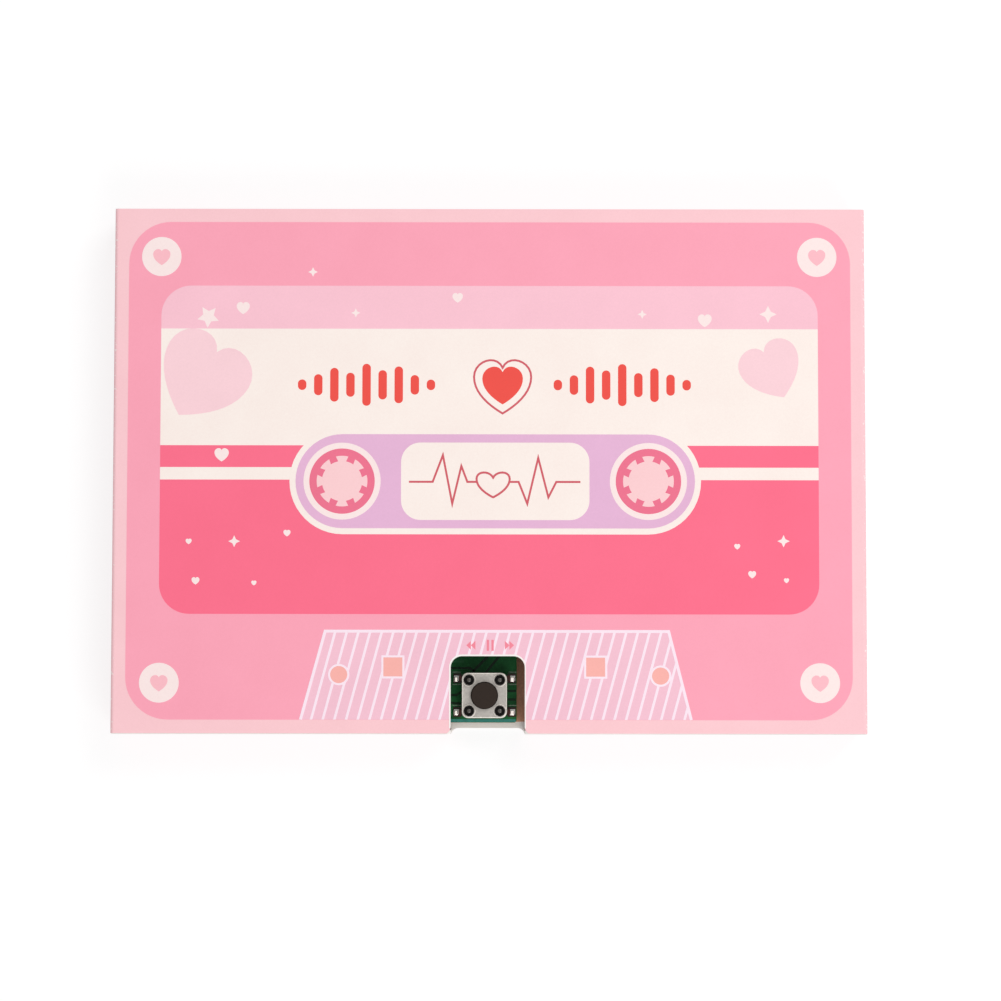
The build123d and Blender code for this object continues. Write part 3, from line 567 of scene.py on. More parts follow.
def copies(shape, places):
    """Copies of a shape modelled at the origin. A place is x, y, then a scale and a turn if any."""
    made = []
    for x, y, *more in places:
        copy = shape.copy()
        copy.data = shape.data.copy()
        bpy.context.scene.collection.objects.link(copy)
        copy.scale = (more[0] if more else 1.0,) * 3
        copy.rotation_euler.z = more[1] if len(more) > 1 else 0.0
        copy.location = (x, y, 0)
        made.append(settle(copy))
    bpy.data.objects.remove(shape)
    return made


def rounded_wire(x0, x1, y0, y1, corner, steps=12):
    """Wire round a rectangle with round corners."""
    points = []
    for cx, cy, start in ((x1 - corner, y1 - corner, 0), (x0 + corner, y1 - corner, 90),
                          (x0 + corner, y0 + corner, 180), (x1 - corner, y0 + corner, 270)):
        turns = [radians(start + n * 90 / steps) for n in range(steps + 1)]
        points += [(cx + corner * cos(turn), cy + corner * sin(turn)) for turn in turns]
    return wire(points, True)


def finish_piece(obj, name, body, slot, material, smooth=None):
    """Names a piece modelled in millimetres, scales it to metres and puts it on its body."""
    settle(obj)
    obj.scale = (MM,) * 3
    settle(obj)
    obj.name = obj.data.name = name
    obj.data.materials.clear()
    obj.data.materials.append(material)
    if smooth:
        bpy.ops.object.shade_smooth_by_angle(angle=radians(smooth))
    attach(obj, body)
    return obj


def laid(shapes, face, level):
    """Joins shapes level ink steps proud of a face. Returns them and the drop to below that face."""
    height, way, _, _ = FACES[face]
    step = way * bpy.context.scene.card_sizes.ink / MM
    return raised(join(shapes), height + level * step), -(level + SUNK_STEPS) * step


def printed(name, shapes, face, level, material, cutter=None):
    """Turns flat shapes into a printed layer: a thin plate sunk in a face and level steps proud of it."""
    obj, drop = laid(shapes, face, level)
    thicken(obj, drop)
    if cutter:
        modify(obj, "BOOLEAN", operation="DIFFERENCE", object=cutter, solver="EXACT")
    return finish_piece(obj, name, *FACES[face][2:], material)


def drawn(name, wires, width, face, level, material):
    """Turns wires into a printed line of even width."""
    obj, drop = laid(wires, face, level)
    with Editing(obj):
        bpy.ops.mesh.extrude_edges_move(TRANSFORM_OT_translate={"value": (0, 0, drop)})
    modify(obj, "SOLIDIFY", thickness=width, offset=0.0, use_even_offset=True)
    with Editing(obj):
        bpy.ops.mesh.normals_make_consistent(inside=False)
    return finish_piece(obj, name, *FACES[face][2:], material)


def notch_cutter(reach=5, low=5, tall=6):
    """Block with the outline of the notch, which reaches past the edge of the card and through the cover."""
    edge = box_mm("card_tray")[0].y
    obj = plate(NOTCH_LEFT, NOTCH_RIGHT, edge - reach, edge + NOTCH_DEPTH, NOTCH_CORNER,
                lambda vert: vert.co.y > edge)
    return thicken(raised(obj, low), tall)


class CARD_OT_finish_card(bpy.types.Operator):
    """Give the card stock its print, its white inside and its cut edges"""

    bl_idname = "card.finish_card"
    bl_label = "Finish card stock"

    # Depth of the print below a face, and its distance from the cut edges and round the fold of the cover
    skin, flap_skin, cut_edge, bend = 0.01, 0.015, 0.02, 0.56
    # Depth of a printed wall of the tray, and how far a face has to turn outwards to be one
    wall, facing, wall_facing = 0.45, 0.25, 0.2
    # Where the painted shade and the wear of a fold or low edge start and where they are full, from the edge
    # of the cover and from the back
    wear_start, wear_full, low_wear_start, low_wear_full = 0.5, 0.2, 0.5, 0.1

    def execute(self, context):
        tones, stuff = context.scene.card_colours, context.scene.card_module
        sides = (("front_cover", self.cover), ("cover_flap", self.flap), ("card_tray", self.tray))
        for node, outside in sides:
            finish = Finish("card_" + node, CARD_GLOSS)
            tooth, cloud = card_grain(finish)
            x, y, z = finish.axes()
            skin, fold = outside(finish, x, y, z)
            worn = fold * (finish.noise(0.35, 4.0) > 0.63)
            printed_side = inked(finish, tuple(tones.border), tooth, cloud)
            # Painted shade: the printed side is 7% darker along the folds of the cover and flap and the low
            # edges of the tray; the white flecks are wear
            printed_side = finish.mix(printed_side, lighter(tones.border, 0.93), fold * 0.6)
            printed_side = finish.mix(printed_side, tuple(stuff.stock), worn * 0.7)
            layers = finish.noise(0.12, 2.0, (0.06, 0.06, 1.0))
            inside = finish.tones(stuff.stock, 0.96, 1.0, finish.ramp(cloud + layers, 0.6, 1.2))
            finish.feed({"Base Color": finish.mix(inside, printed_side, skin)})
            coat_node(node, finish.material)
        coat_node("spacer_frame", self.greyboard(stuff))
        coat_node("inner_panel", self.panel(tones, stuff))
        return {"FINISHED"}

    def cover(self, finish, x, y, z):
        high = cover_high
        beside = abs(x) > high.x - self.bend
        skin = ((z > high.z - self.skin) | beside) & (abs(y) < high.y - self.cut_edge)
        return skin, finish.ramp(abs(x), high.x - self.wear_start, high.x - self.wear_full) & skin

    def flap(self, finish, x, y, z):
        high = box_mm("cover_flap")[1]
        skin = x > high.x - self.flap_skin
        return skin, finish.ramp(z, high.z - self.wear_start, high.z) & skin

    def tray(self, finish, x, y, z):
        low, high = box_mm("card_tray")
        normal = finish.node("ShaderNodeTexCoord", out="Normal")
        nx, ny, nz = finish.parts("ShaderNodeSeparateXYZ", {0: normal})
        spine = (nx < -self.facing) & (x < low.x + self.wall)
        walls = ((ny * y) > self.wall_facing * high.y) & (abs(y) > high.y - self.wall)
        back = (nz < -self.facing) & (z < self.wall)
        skin = spine | walls | back
        return skin, finish.ramp(z, self.low_wear_start, self.low_wear_full) & (spine | walls)

    def greyboard(self, stuff):
        """Raw board: grey brown pulp with darker flecks, in layers at its cut edge."""
        finish = Finish("greyboard", {"Specular IOR Level": 0.2})
        pulp = finish.noise(0.5, 5.0)
        layers = finish.noise(0.35, 3.0, (0.05, 0.05, 1.0))
        fleck = finish.cells(0.9) < 0.16
        tone = finish.tones(stuff.greyboard, 0.8, 1.15, finish.ramp(pulp * 0.6 + layers * 0.4, 0.35, 0.65))
        finish.feed({"Base Color": finish.mix(tone, lighter(stuff.greyboard, 0.5), fleck * 0.6),
                     "Roughness": 0.85})
        finish.relief(pulp + layers, 0.02)
        return finish.material

    def panel(self, tones, stuff):
        """Uncoated panel card with a soft pink tint, white at its cut edges."""
        finish = Finish("panel_card", CARD_GLOSS)
        tooth, cloud = card_grain(finish, 0.008)
        _, _, z = finish.axes()
        top = z > panel_high.z - self.skin
        tinted = inked(finish, tuple(tones.cream), tooth, cloud)
        finish.feed({"Base Color": finish.mix(tuple(stuff.stock), tinted, top)})
        return finish.material


class CARD_OT_print_ground(bpy.types.Operator):
    """Print the frame and the banded label"""

    bl_idname = "card.print_ground"
    bl_label = "Print frame and label"

    # Bands of the label as their name, ink and lower and upper level
    bands = (("rose_low", "rose", -19.16, -1.35), ("stripe", "cream", -1.35, 0.31),
             ("rose_high", "rose", 0.31, 3.22), ("cream", "cream", 3.22, 18.8),
             ("lilac", "lilac", 18.8, 24.56))

    def execute(self, context):
        size = in_mm(context.scene.card_sizes)
        cutter = notch_cutter()
        shape = centred_plate(size.frame_length, size.frame_height, size.frame_corner)
        printed("print_frame", [shape], "front", 1, ink("frame"), cutter)
        bpy.data.objects.remove(cutter)
        half, label_low, label_high = size.label_length / 2, self.bands[0][2], self.bands[-1][3]
        for name, tone, low, high in self.bands:
            band = plate(-half, half, label_low, label_high, size.label_corner)
            for level, way in ((low, -1), (high, 1)):
                with Editing(band):
                    bpy.ops.mesh.bisect(plane_co=(0, level, 0), plane_no=(0, way, 0), clear_outer=True)
            printed("print_band_" + name, [band], "front", 2, ink(tone))
        return {"FINISHED"}


class CARD_OT_print_capsule(bpy.types.Operator):
    """Print the capsule with its window, its two toothed hubs and the pulse line"""

    bl_idname = "card.print_capsule"
    bl_label = "Print capsule and hubs"

    centre = (0.79, -1.54)
    # Teeth of a hub: their number, the share of the radius that makes a root, and how much wider the tip is
    teeth, root, flare = 8, 0.2, 1.6
    # Pulse line round the centre, and its heart: place, width, height to width and depth of the dip
    pulse_drop = -0.08
    pulse_left = ((-11.45, 0), (-8.3, 0), (-6.95, 3.55), (-5.7, -2.9), (-4.5, 2.1), (-3.7, 0), (-2.5, 0))
    pulse_right = ((1.9, 0), (3.1, 0), (4.25, -2.9), (5.7, 3.2), (7.05, -2.05), (8.1, 0), (11.3, 0))
    heart_place, heart_form = (-0.28, -0.22), (4.4, 0.87, 0.36)

    def execute(self, context):
        size = in_mm(context.scene.card_sizes)
        x, y = self.centre
        layers = (("edge", "cream", size.capsule_border, 3), ("ground", "capsule", 0, 4))
        for name, tone, border, level in layers:
            height = size.capsule_height + 2 * border
            shape = centred_plate(size.capsule_length + 2 * border, height, height / 2 * ROUND_END, x, y)
            printed("print_capsule_" + name, [shape], "front", level, ink(tone))
        window = centred_plate(size.window_length, size.window_height, size.window_corner, x, y)
        printed("print_window", [window], "front", 5, ink("cream"))
        places = [(x + side * size.reel_spacing / 2, y) for side in (-1, 1)]
        layers = (("ring", "white", size.reel_ring, 5), ("disc", "reel", size.reel_disc, 6))
        for name, tone, radius, level in layers:
            printed("print_reel_" + name, copies(disc(0, 0, radius), places), "front", level, ink(tone))
        hubs = copies(self.hub(size.reel_hub, size.reel_tooth), places)
        printed("print_reel_hub", hubs, "front", 7, ink("hub"))
        self.pulse(size, x, y)
        return {"FINISHED"}

    def hub(self, radius, tooth):
        """Flat disc with flared teeth, each a stretch of the rim drawn out and widened."""
        obj = disc(0, 0, radius)
        for n in range(self.teeth):
            turn = 2 * pi * n / self.teeth
            out = Vector((cos(turn), sin(turn), 0))
            near = out * radius
            with Editing(obj) as edit:
                edit.choose(lambda vert: (vert.co - near).length < radius * self.root)
                bpy.ops.mesh.select_mode(type="EDGE")
                bpy.ops.mesh.extrude_edges_move(TRANSFORM_OT_translate={"value": out * tooth})
                tip = out * (radius + tooth)
                bpy.ops.transform.resize(value=(self.flare, self.flare, 1), center_override=tip)
                edit.choose(lambda vert: vert.co.length > radius + tooth * 0.5)
                bpy.ops.transform.tosphere(value=1.0, center_override=(0, 0, 0))
        return obj

    def pulse(self, size, x, y):
        """Pulse line on each side of a heart's outline."""
        wires = [wire([(x + px, y + self.pulse_drop + py) for px, py in side])
                 for side in (self.pulse_left, self.pulse_right)]
        drawn("print_pulse", wires, size.line, "front", 6, ink("pulse"))
        dx, dy = self.heart_place
        outline = heart_wire(x + dx, y + dy, *self.heart_form)
        drawn("print_pulse_heart", [outline], size.line, "front", 7, ink("pulse"))


class CARD_OT_print_figures(bpy.types.Operator):
    """Print the corner discs, the hearts, stars and sparkles, and the red sound bars"""

    bl_idname = "card.print_figures"
    bl_label = "Print small figures"

    # Places of the corner discs, then x, y, size and turn of the other figures
    corners = ((-43.72, 28.45), (43.62, 28.45), (-43.6, -28.25), (43.74, -28.2))
    hearts = ((-32.81, 21.6, 1.75), (-4.25, 23.0, 1.4), (28.66, 19.98, 1.85), (-35.54, 2.0, 1.9),
              (-26.8, -8.43, 0.95), (-38.87, -14.76, 1.05), (-31.14, -15.05, 0.7), (-39.82, -9.55, 0.8),
              (32.86, -10.16, 0.8), (34.82, -13.86, 1.05), (39.36, -14.66, 0.7))
    sparkles = ((-23.54, 26.4, 0.62), (-17.81, 20.92, 0.58), (20.33, 20.77, 0.58), (37.08, 20.79, 1.1),
                (-33.79, -9.54, 0.74), (39.0, -9.45, 0.78))
    large_hearts = ((-38.15, 12.5, 12.2, radians(-30.8)), (37.5, 13.45, 8.2, radians(24)))
    star = (-37.45, 20.4, 1.0, radians(176))
    corner_heart, sparkle_form, star_form = 2.3, (1.06, 4, 0.45), (1.5, 5, 0.5)
    # Heights of the sound bars, where each row starts, and the heart between them with its outline
    bars = (1.4, 2.8, 4.5, 3.2, 5.6, 3.9, 4.9, 2.6, 1.4)
    bar_starts, bar_pitch, bar_width, bar_level, bar_round = (-24.9, 9.1), 2.14, 1.12, 11.3, 0.49
    middle_x, middle_lift, middle_heart, middle_line = 1.75, 0.1, 5.4, 7.6

    def execute(self, context):
        size = in_mm(context.scene.card_sizes)
        discs = copies(disc(0, 0, size.corner_disc), self.corners)
        printed("print_corner_discs", discs, "front", 2, ink("white"))
        hearts = copies(heart(self.corner_heart), self.corners)
        printed("print_corner_hearts", hearts, "front", 3, ink("bloom"))
        printed("print_large_hearts", copies(heart(1.0), self.large_hearts), "front", 3, ink("blush"))
        small = copies(heart(1.0), self.hearts)
        small += copies(figure(*self.sparkle_form), self.sparkles)
        small += copies(figure(*self.star_form), [self.star])
        printed("print_small_figures", small, "front", 3, ink("white"))
        place = (self.middle_x, self.bar_level + self.middle_lift)
        bars = self.sound_bars() + copies(heart(self.middle_heart), [place])
        printed("print_sound_bars", bars, "front", 3, ink("red"))
        outline = heart_wire(self.middle_x, self.bar_level, self.middle_line)
        drawn("print_middle_heart_line", [outline], size.line, "front", 3, ink("pulse"))
        return {"FINISHED"}

    def sound_bars(self):
        """A row of round-ended bars on each side of the middle, the right one turned round."""
        corner = self.bar_width * self.bar_round
        return [centred_plate(self.bar_width, height, corner, start + n * self.bar_pitch, self.bar_level)
                for start, heights in zip(self.bar_starts, (self.bars, self.bars[::-1]))
                for n, height in enumerate(heights)]


class CARD_OT_print_hatch(bpy.types.Operator):
    """Print the hatched foot with its dots, squares and symbols, and the pale cut line of the notch"""

    bl_idname = "card.print_hatch"
    bl_label = "Print hatched foot"

    # Corners of the trapezium, and the pale line round it: its distance inwards and its extra width
    top, low = -21.27, -33.08
    top_left, top_right, low_left, low_right = -21.82, 23.89, -25.02, 26.85
    edge_inset, edge_extra = 0.15, 0.04
    dots = ((-19.85, -27.15), (22.67, -27.3))
    squares = ((-12.7, -26.13), (14.09, -26.13))
    dot_radius, dot_sides, square_side, rim = 1.13, 40, 2.5, 0.28
    # Width of the pale line round the notch, its corner, and where it starts above the card's edge
    cut_left, cut_right, cut_end, cut_corner, cut_start = 0.2, 0.14, 0.22, 1.65, 0.8
    # Arrowheads as their way and place, and the bars between them
    symbol_level, arrow_size, arrow_narrow, arrow_step = -23.27, 0.66, 0.6, 0.3
    arrows, bars, bar_width, bar_height = ((-1, -2.3), (1, 2.6)), (-0.15, 0.47), 0.3, 1.44

    def execute(self, context):
        size = in_mm(context.scene.card_sizes)
        cutter = notch_cutter()
        printed("print_hatch_ground", [self.ground()], "front", 2, ink("hatch"), cutter)
        printed("print_hatch_lines", [self.hatch(size)], "front", 3, ink("hatch_line"), cutter)
        width = size.hatch_line + self.edge_extra
        drawn("print_hatch_edge", [self.edge()], width, "front", 4, ink("hatch_line"))
        printed("print_foot_rims", self.marks(self.rim), "front", 4, ink("hatch_line"))
        printed("print_foot_fills", self.marks(0), "front", 5, ink("salmon"))
        printed("print_symbols", self.symbols(), "front", 4, ink("symbol"))
        edge = box_mm("card_tray")[0].y
        end = edge + NOTCH_DEPTH
        rim = plate(NOTCH_LEFT - self.cut_left, NOTCH_RIGHT + self.cut_right, edge + self.cut_start,
                    end + self.cut_end, self.cut_corner, lambda vert: vert.co.y > end - NOTCH_DEPTH / 2)
        printed("print_notch_edge", [rim], "front", 5, ink("cut", context.scene.card_module.stock), cutter)
        bpy.data.objects.remove(cutter)
        return {"FINISHED"}

    def marks(self, rim):
        """The two dots and the two squares, grown by a rim."""
        side = self.square_side + 2 * rim
        return (copies(disc(0, 0, self.dot_radius + rim, self.dot_sides), self.dots)
                + copies(centred_plate(side, side), self.squares))

    def edge(self):
        """Line up the left slope, along the top and down the right slope."""
        inset = self.edge_inset
        return wire([(self.low_left + inset, self.low), (self.top_left + inset, self.top - inset),
                     (self.top_right - inset, self.top - inset), (self.low_right - inset, self.low)])

    def ground(self):
        """Trapezium whose upper corners are drawn in."""
        obj = plate(self.low_left, self.low_right, self.low, self.top)
        with Editing(obj) as edit:
            edit.choose(lambda vert: vert.co.y > self.low + 1 and vert.co.x < 0)
            bpy.ops.transform.translate(value=(self.top_left - self.low_left, 0, 0))
            edit.choose(lambda vert: vert.co.y > self.low + 1 and vert.co.x > 0)
            bpy.ops.transform.translate(value=(self.top_right - self.low_right, 0, 0))
        return obj

    def hatch(self, size):
        """Slanting lines, one modelled and repeated, cut off at the right-hand slope."""
        half, start = size.hatch_line / 2, self.low_left + size.hatch_pitch
        obj = plate(start - half, start + half, self.low, self.top)
        with Editing(obj) as edit:
            edit.choose(lambda vert: vert.co.y > self.low + 1)
            bpy.ops.transform.translate(value=(self.top_left - self.low_left, 0, 0))
        modify(obj, "ARRAY", use_relative_offset=False, use_constant_offset=True,
               constant_offset_displace=(size.hatch_pitch, 0, 0),
               count=int((self.low_right - self.low_left) / size.hatch_pitch))
        with Editing(obj):
            slope = Vector((self.top - self.low, self.low_right - self.top_right, 0)).normalized()
            bpy.ops.mesh.bisect(plane_co=(self.low_right, self.low, 0), plane_no=slope, clear_outer=True)
        return obj

    def symbols(self):
        """Two arrowheads back, two bars, two arrowheads on."""
        y = self.symbol_level
        bpy.ops.mesh.primitive_circle_add(vertices=3, radius=self.arrow_size, fill_type="NGON")
        arrow = bpy.context.object
        arrow.scale.y = self.arrow_narrow
        shapes = copies(settle(arrow), [(x + half * self.arrow_step, y, 1.0, -side * pi / 2)
                                        for side, x in self.arrows for half in (-1, 1)])
        return shapes + copies(centred_plate(self.bar_width, self.bar_height), [(x, y) for x in self.bars])


class CARD_OT_print_inside(bpy.types.Operator):
    """Print the inner panel, the inside of the cover and the back"""

    bl_idname = "card.print_inside"
    bl_label = "Print inside and back"

    # Inner and outer radius of the printed rings, and the number of points of the small ones
    speaker_rings = ((15.2, 15.9), (16.5, 16.8))
    record_ring, lamp_ring, microphone_ring, small_ring = (5.1, 5.8), (2.0, 2.3), (1.3, 1.6), 40
    words, word_size, word_rise = (("OFF", -2.5), ("ON", 2.5)), 1.5, 1.7
    record_dot, record_dot_left, record_dot_sides = 0.9, 7.6, 32
    # Borders as their face, the width of their line, then left, right, low, high and corner
    borders = {"panel_border": ("panel", 0.5, (-46.8, 46.8, -13.7, 32.2, 3.5)),
               "inside_border": ("inside", 0.8, (-45.5, 45.5, -22.0, 31.5, 4.0)),
               "inside_fine_border": ("inside", 0.25, (-44.2, 44.2, -20.7, 30.2, 3.2))}
    # Writing lines as their length, middle, first level, pitch and number
    panel_lines, cover_lines = (35.0, -24.5, 27.2, 4.4, 8), (68.0, 0, 15.0, 7.0, 5)
    line_width, line_corner = 0.28, 0.13
    cover_hearts = ((-5.4, 22.6, 2.6), (0, 22.6, 4.4), (5.4, 22.6, 2.6))
    back_margin, back_heart = 3.2, 2.2
    # Rows of hearts on the back, each second one shifted by half a pitch
    back_pitch_x, back_pitch_y, back_start_x, back_start_y = 11.5, 10.0, -2.9, 1.5

    def execute(self, context):
        size = in_mm(context.scene.card_sizes)
        self.panel()
        self.cover()
        self.back(size)
        return {"FINISHED"}

    def panel(self):
        rings = [annulus(*middle("speaker_frame"), *radii) for radii in self.speaker_rings]
        printed("panel_speaker_rings", rings, "panel", 1, ink("frame"))
        x, y = middle("record_button")
        rings = [annulus(x, y, *self.record_ring),
                 annulus(*middle("record_lamp"), *self.lamp_ring, self.small_ring),
                 annulus(*middle("microphone_can"), *self.microphone_ring, self.small_ring)]
        printed("panel_control_rings", rings, "panel", 1, ink("rose"))
        printed("panel_switch_words", self.switch_words(), "panel", 1, ink("rose"))
        dot = disc(x - self.record_dot_left, y, self.record_dot, self.record_dot_sides)
        printed("panel_record_dot", [dot], "panel", 1, ink("red"))
        printed("panel_writing_lines", self.lines(*self.panel_lines), "panel", 1, ink("frame"))
        self.border("panel_border")

    def switch_words(self):
        """OFF and ON above the slot of the power switch."""
        x, y = middle("power_switch_shell")
        words = []
        for text, dx in self.words:
            bpy.ops.object.text_add(location=(x + dx, y + self.word_rise, 0))
            word = bpy.context.object
            word.data.body, word.data.size, word.data.align_x = text, self.word_size, "CENTER"
            word.data.fill_mode = "BOTH"
            words.append(as_mesh(word))
        return words

    def lines(self, length, x, first, pitch, count):
        """Even lines below one another."""
        return copies(centred_plate(length, self.line_width, self.line_corner),
                      [(x, first - pitch * n) for n in range(count)])

    def border(self, name):
        face, width, outline = self.borders[name]
        drawn(name, [rounded_wire(*outline)], width, face, 1, ink("frame"))

    def cover(self):
        self.border("inside_border")
        self.border("inside_fine_border")
        printed("inside_writing_lines", self.lines(*self.cover_lines), "inside", 1, ink("frame"))
        printed("inside_hearts", copies(heart(1.0), self.cover_hearts), "inside", 1, ink("rose"))

    def back(self, size):
        length, height = size.frame_length, size.frame_height
        printed("back_frame", [centred_plate(length, height, size.frame_corner)], "back", 1, ink("frame"))
        length, height = length - 2 * self.back_margin, height - 2 * self.back_margin
        printed("back_field", [centred_plate(length, height, size.label_corner)], "back", 2, ink("border"))
        places = [(self.back_start_x + (column + row % 2 / 2) * self.back_pitch_x,
                   self.back_start_y + row * self.back_pitch_y)
                  for column in range(-3, 4) for row in range(-2, 3)]
        printed("back_hearts", copies(heart(self.back_heart), places), "back", 3, ink("white"))


class CARD_OT_detail_switches(bpy.types.Operator):
    """Add the rolled rims and rivet heads of the push switches, and finish their parts"""

    bl_idname = "card.detail_switches"
    bl_label = "Detail push switches"

    # Half width and corner of the metal plate, radius of its rolled rims and thickness of the snap dome
    half, corner, rim, sheet = 3.0, 0.78, 0.085, 0.1
    dome_steps, dome_sides = 12, 40
    # Distance of the posts from the middle, radius of the hole round each and height of its head
    post, hole, head_rise = 2.05, 0.8, 0.33
    ring = ((0, -0.3), (0.68, -0.3), (0.68, 0.02), (0.63, 0.07), (0.52, 0.07), (0.47, -0.08), (0, -0.08))
    pip, pip_sides = ((0, -0.3), (0.27, -0.3), (0.27, -0.02), (0.2, 0.03), (0, 0.05)), 20
    # How far above the board the legs show tin, with flux and painted shadow higher up, and how light the
    # plate is and how much lighter its rolled rims and rivet collars are, a painted highlight
    bright_leg, plate_light, rim_light = 0.5, 0.9, 1.6

    def execute(self, context):
        stuff = context.scene.card_module
        plate_finish = self.satin(stuff, "switch_plate", self.plate_light)
        # The rolled rims and rivet collars get a lighter copy of the plate's satin metal: a painted highlight
        rim_finish = self.satin(stuff, "switch_rim", self.rim_light)
        black = plain_finish("switch_black", stuff.moulding, 0.5, grain=0.25, drift=0.2,
                             constants={"Specular IOR Level": 0.08})
        button = plain_finish("button_black", stuff.button, 0.6, grain=0.16, depth=0.012, drift=0.16,
                              polish=0.2, constants={"Specular IOR Level": 0.1})
        # The centres of the melted rivet heads get a lighter, glossier copy of the black moulding: a painted
        # sheen
        grip = plain_finish("rivet_black", linear("#3c362f"), 0.26, grain=0.1, depth=0.012, drift=0.3,
                            constants={"Specular IOR Level": 0.6})
        legs = self.leg_finish(stuff)
        spring = plain_finish("spring_steel", linear("#c9c9c7"), 0.2, 1.0, grain=0.2, depth=0.002)
        for name in ("play", "record"):
            coat_node(name + "_switch_cover", plate_finish)
            coat_node(name + "_switch_base", black)
            coat_node(name + "_button", button)
            coat_node(name + "_switch_legs", legs)
            x, y = middle(name + "_button")
            posts = [(x + dx * self.post, y + dy * self.post) for dx in (-1, 1) for dy in (-1, 1)]
            collars = join(copies(self.bead(), posts))
            finish_piece(collars, name + "_rivet_collars", "case", "switch_plate", rim_finish, smooth=60)
            self.border(name, x, y, rim_finish)
            self.heads(name + "_rivet_rings", lathe(self.ring), posts, black)
            self.heads(name + "_rivet_centres", lathe(self.pip, self.pip_sides), posts, grip)
            self.snap_dome(name, x, y, spring)
        return {"FINISHED"}

    def snap_dome(self, name, x, y, spring):
        """Thin spring dome on the floor of the switch, which flattens under the button's nub."""
        low, high = box_mm(name + "_switch_dome")
        edge, rise = (high.x - low.x) / 2, high.z - low.z
        ball = ((edge + self.sheet) ** 2 + rise ** 2) / (2 * rise)
        radii = [edge * n / self.dome_steps for n in range(self.dome_steps + 1)]
        outside = [(r, rise - ball + sqrt(ball ** 2 - r ** 2)) for r in radii]
        inside = [(r, max(0.0, h - self.sheet)) for r, h in reversed(outside)]
        obj = lathe(outside + inside, self.dome_sides)
        obj.location = (x, y, low.z)
        finish_piece(obj, name + "_snap_dome", "case", "spring_steel", spring, smooth=40)
        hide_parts(name + "_switch_dome")
        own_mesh(obj)

    def heads(self, name, head, posts, material):
        """A melted head over each post of the switch base."""
        obj = join(copies(head, posts))
        obj.location.z = PLATE_TOP + self.head_rise
        finish_piece(obj, name, "case", "switch_black", material, smooth=40)

    def satin(self, stuff, name, light):
        """Satin metal with fine scratches both ways."""
        finish = Finish(name, {"Metallic": 0.2, "Specular IOR Level": 0.4})
        satin = finish.noise(0.3, 3.0)
        scratch = finish.noise(0.05, 2.0, (1.0, 0.04, 1.0)) > 0.66
        nick = finish.noise(0.06, 2.0, (0.05, 1.0, 1.0)) > 0.7
        tone = lighter(stuff.plate, light)
        base = finish.tones(tone, 0.88, 1.08, finish.spread(satin))
        finish.feed({"Base Color": finish.mix(base, lighter(tone, 1.3), (scratch | nick) * 0.35),
                     "Roughness": finish.spread(satin, 0.34, 0.5)})
        finish.relief(satin - (scratch | nick) * 0.6, 0.004)
        return finish.material

    def leg_finish(self, stuff):
        """Tinned legs, dark above their feet with flux and painted shadow."""
        finish = Finish("switch_legs", {"Metallic": 0.5})
        _, _, z = finish.axes()
        fine = finish.noise(0.2, 3.0)
        low = z < board_high.z + self.bright_leg
        tin = finish.tones(stuff.tin, 0.9, 1.1, finish.spread(fine))
        finish.feed({"Base Color": finish.mix(lighter(stuff.flux, 1.5), tin, low),
                     "Roughness": finish.spread(fine, 0.25, 0.4)})
        finish.relief(fine, 0.006)
        return finish.material

    def bead(self):
        """Low rolled rim round a hole."""
        bpy.ops.mesh.primitive_torus_add(major_radius=self.hole, minor_radius=self.rim, major_segments=36,
                                         minor_segments=8, location=(0, 0, PLATE_TOP))
        return settle(bpy.context.object)

    def border(self, name, x, y, material):
        """Rolled edge of the plate."""
        half = self.half - self.rim
        obj = rounded_wire(x - half, x + half, y - half, y + half, self.corner)
        only(obj)
        bpy.ops.object.convert(target="CURVE")
        obj = bpy.context.object
        obj.data.bevel_depth, obj.data.bevel_resolution = self.rim, 2
        obj = as_mesh(obj)
        obj.location.z = PLATE_TOP
        finish_piece(obj, name + "_plate_rim", "case", "switch_plate", material, smooth=60)


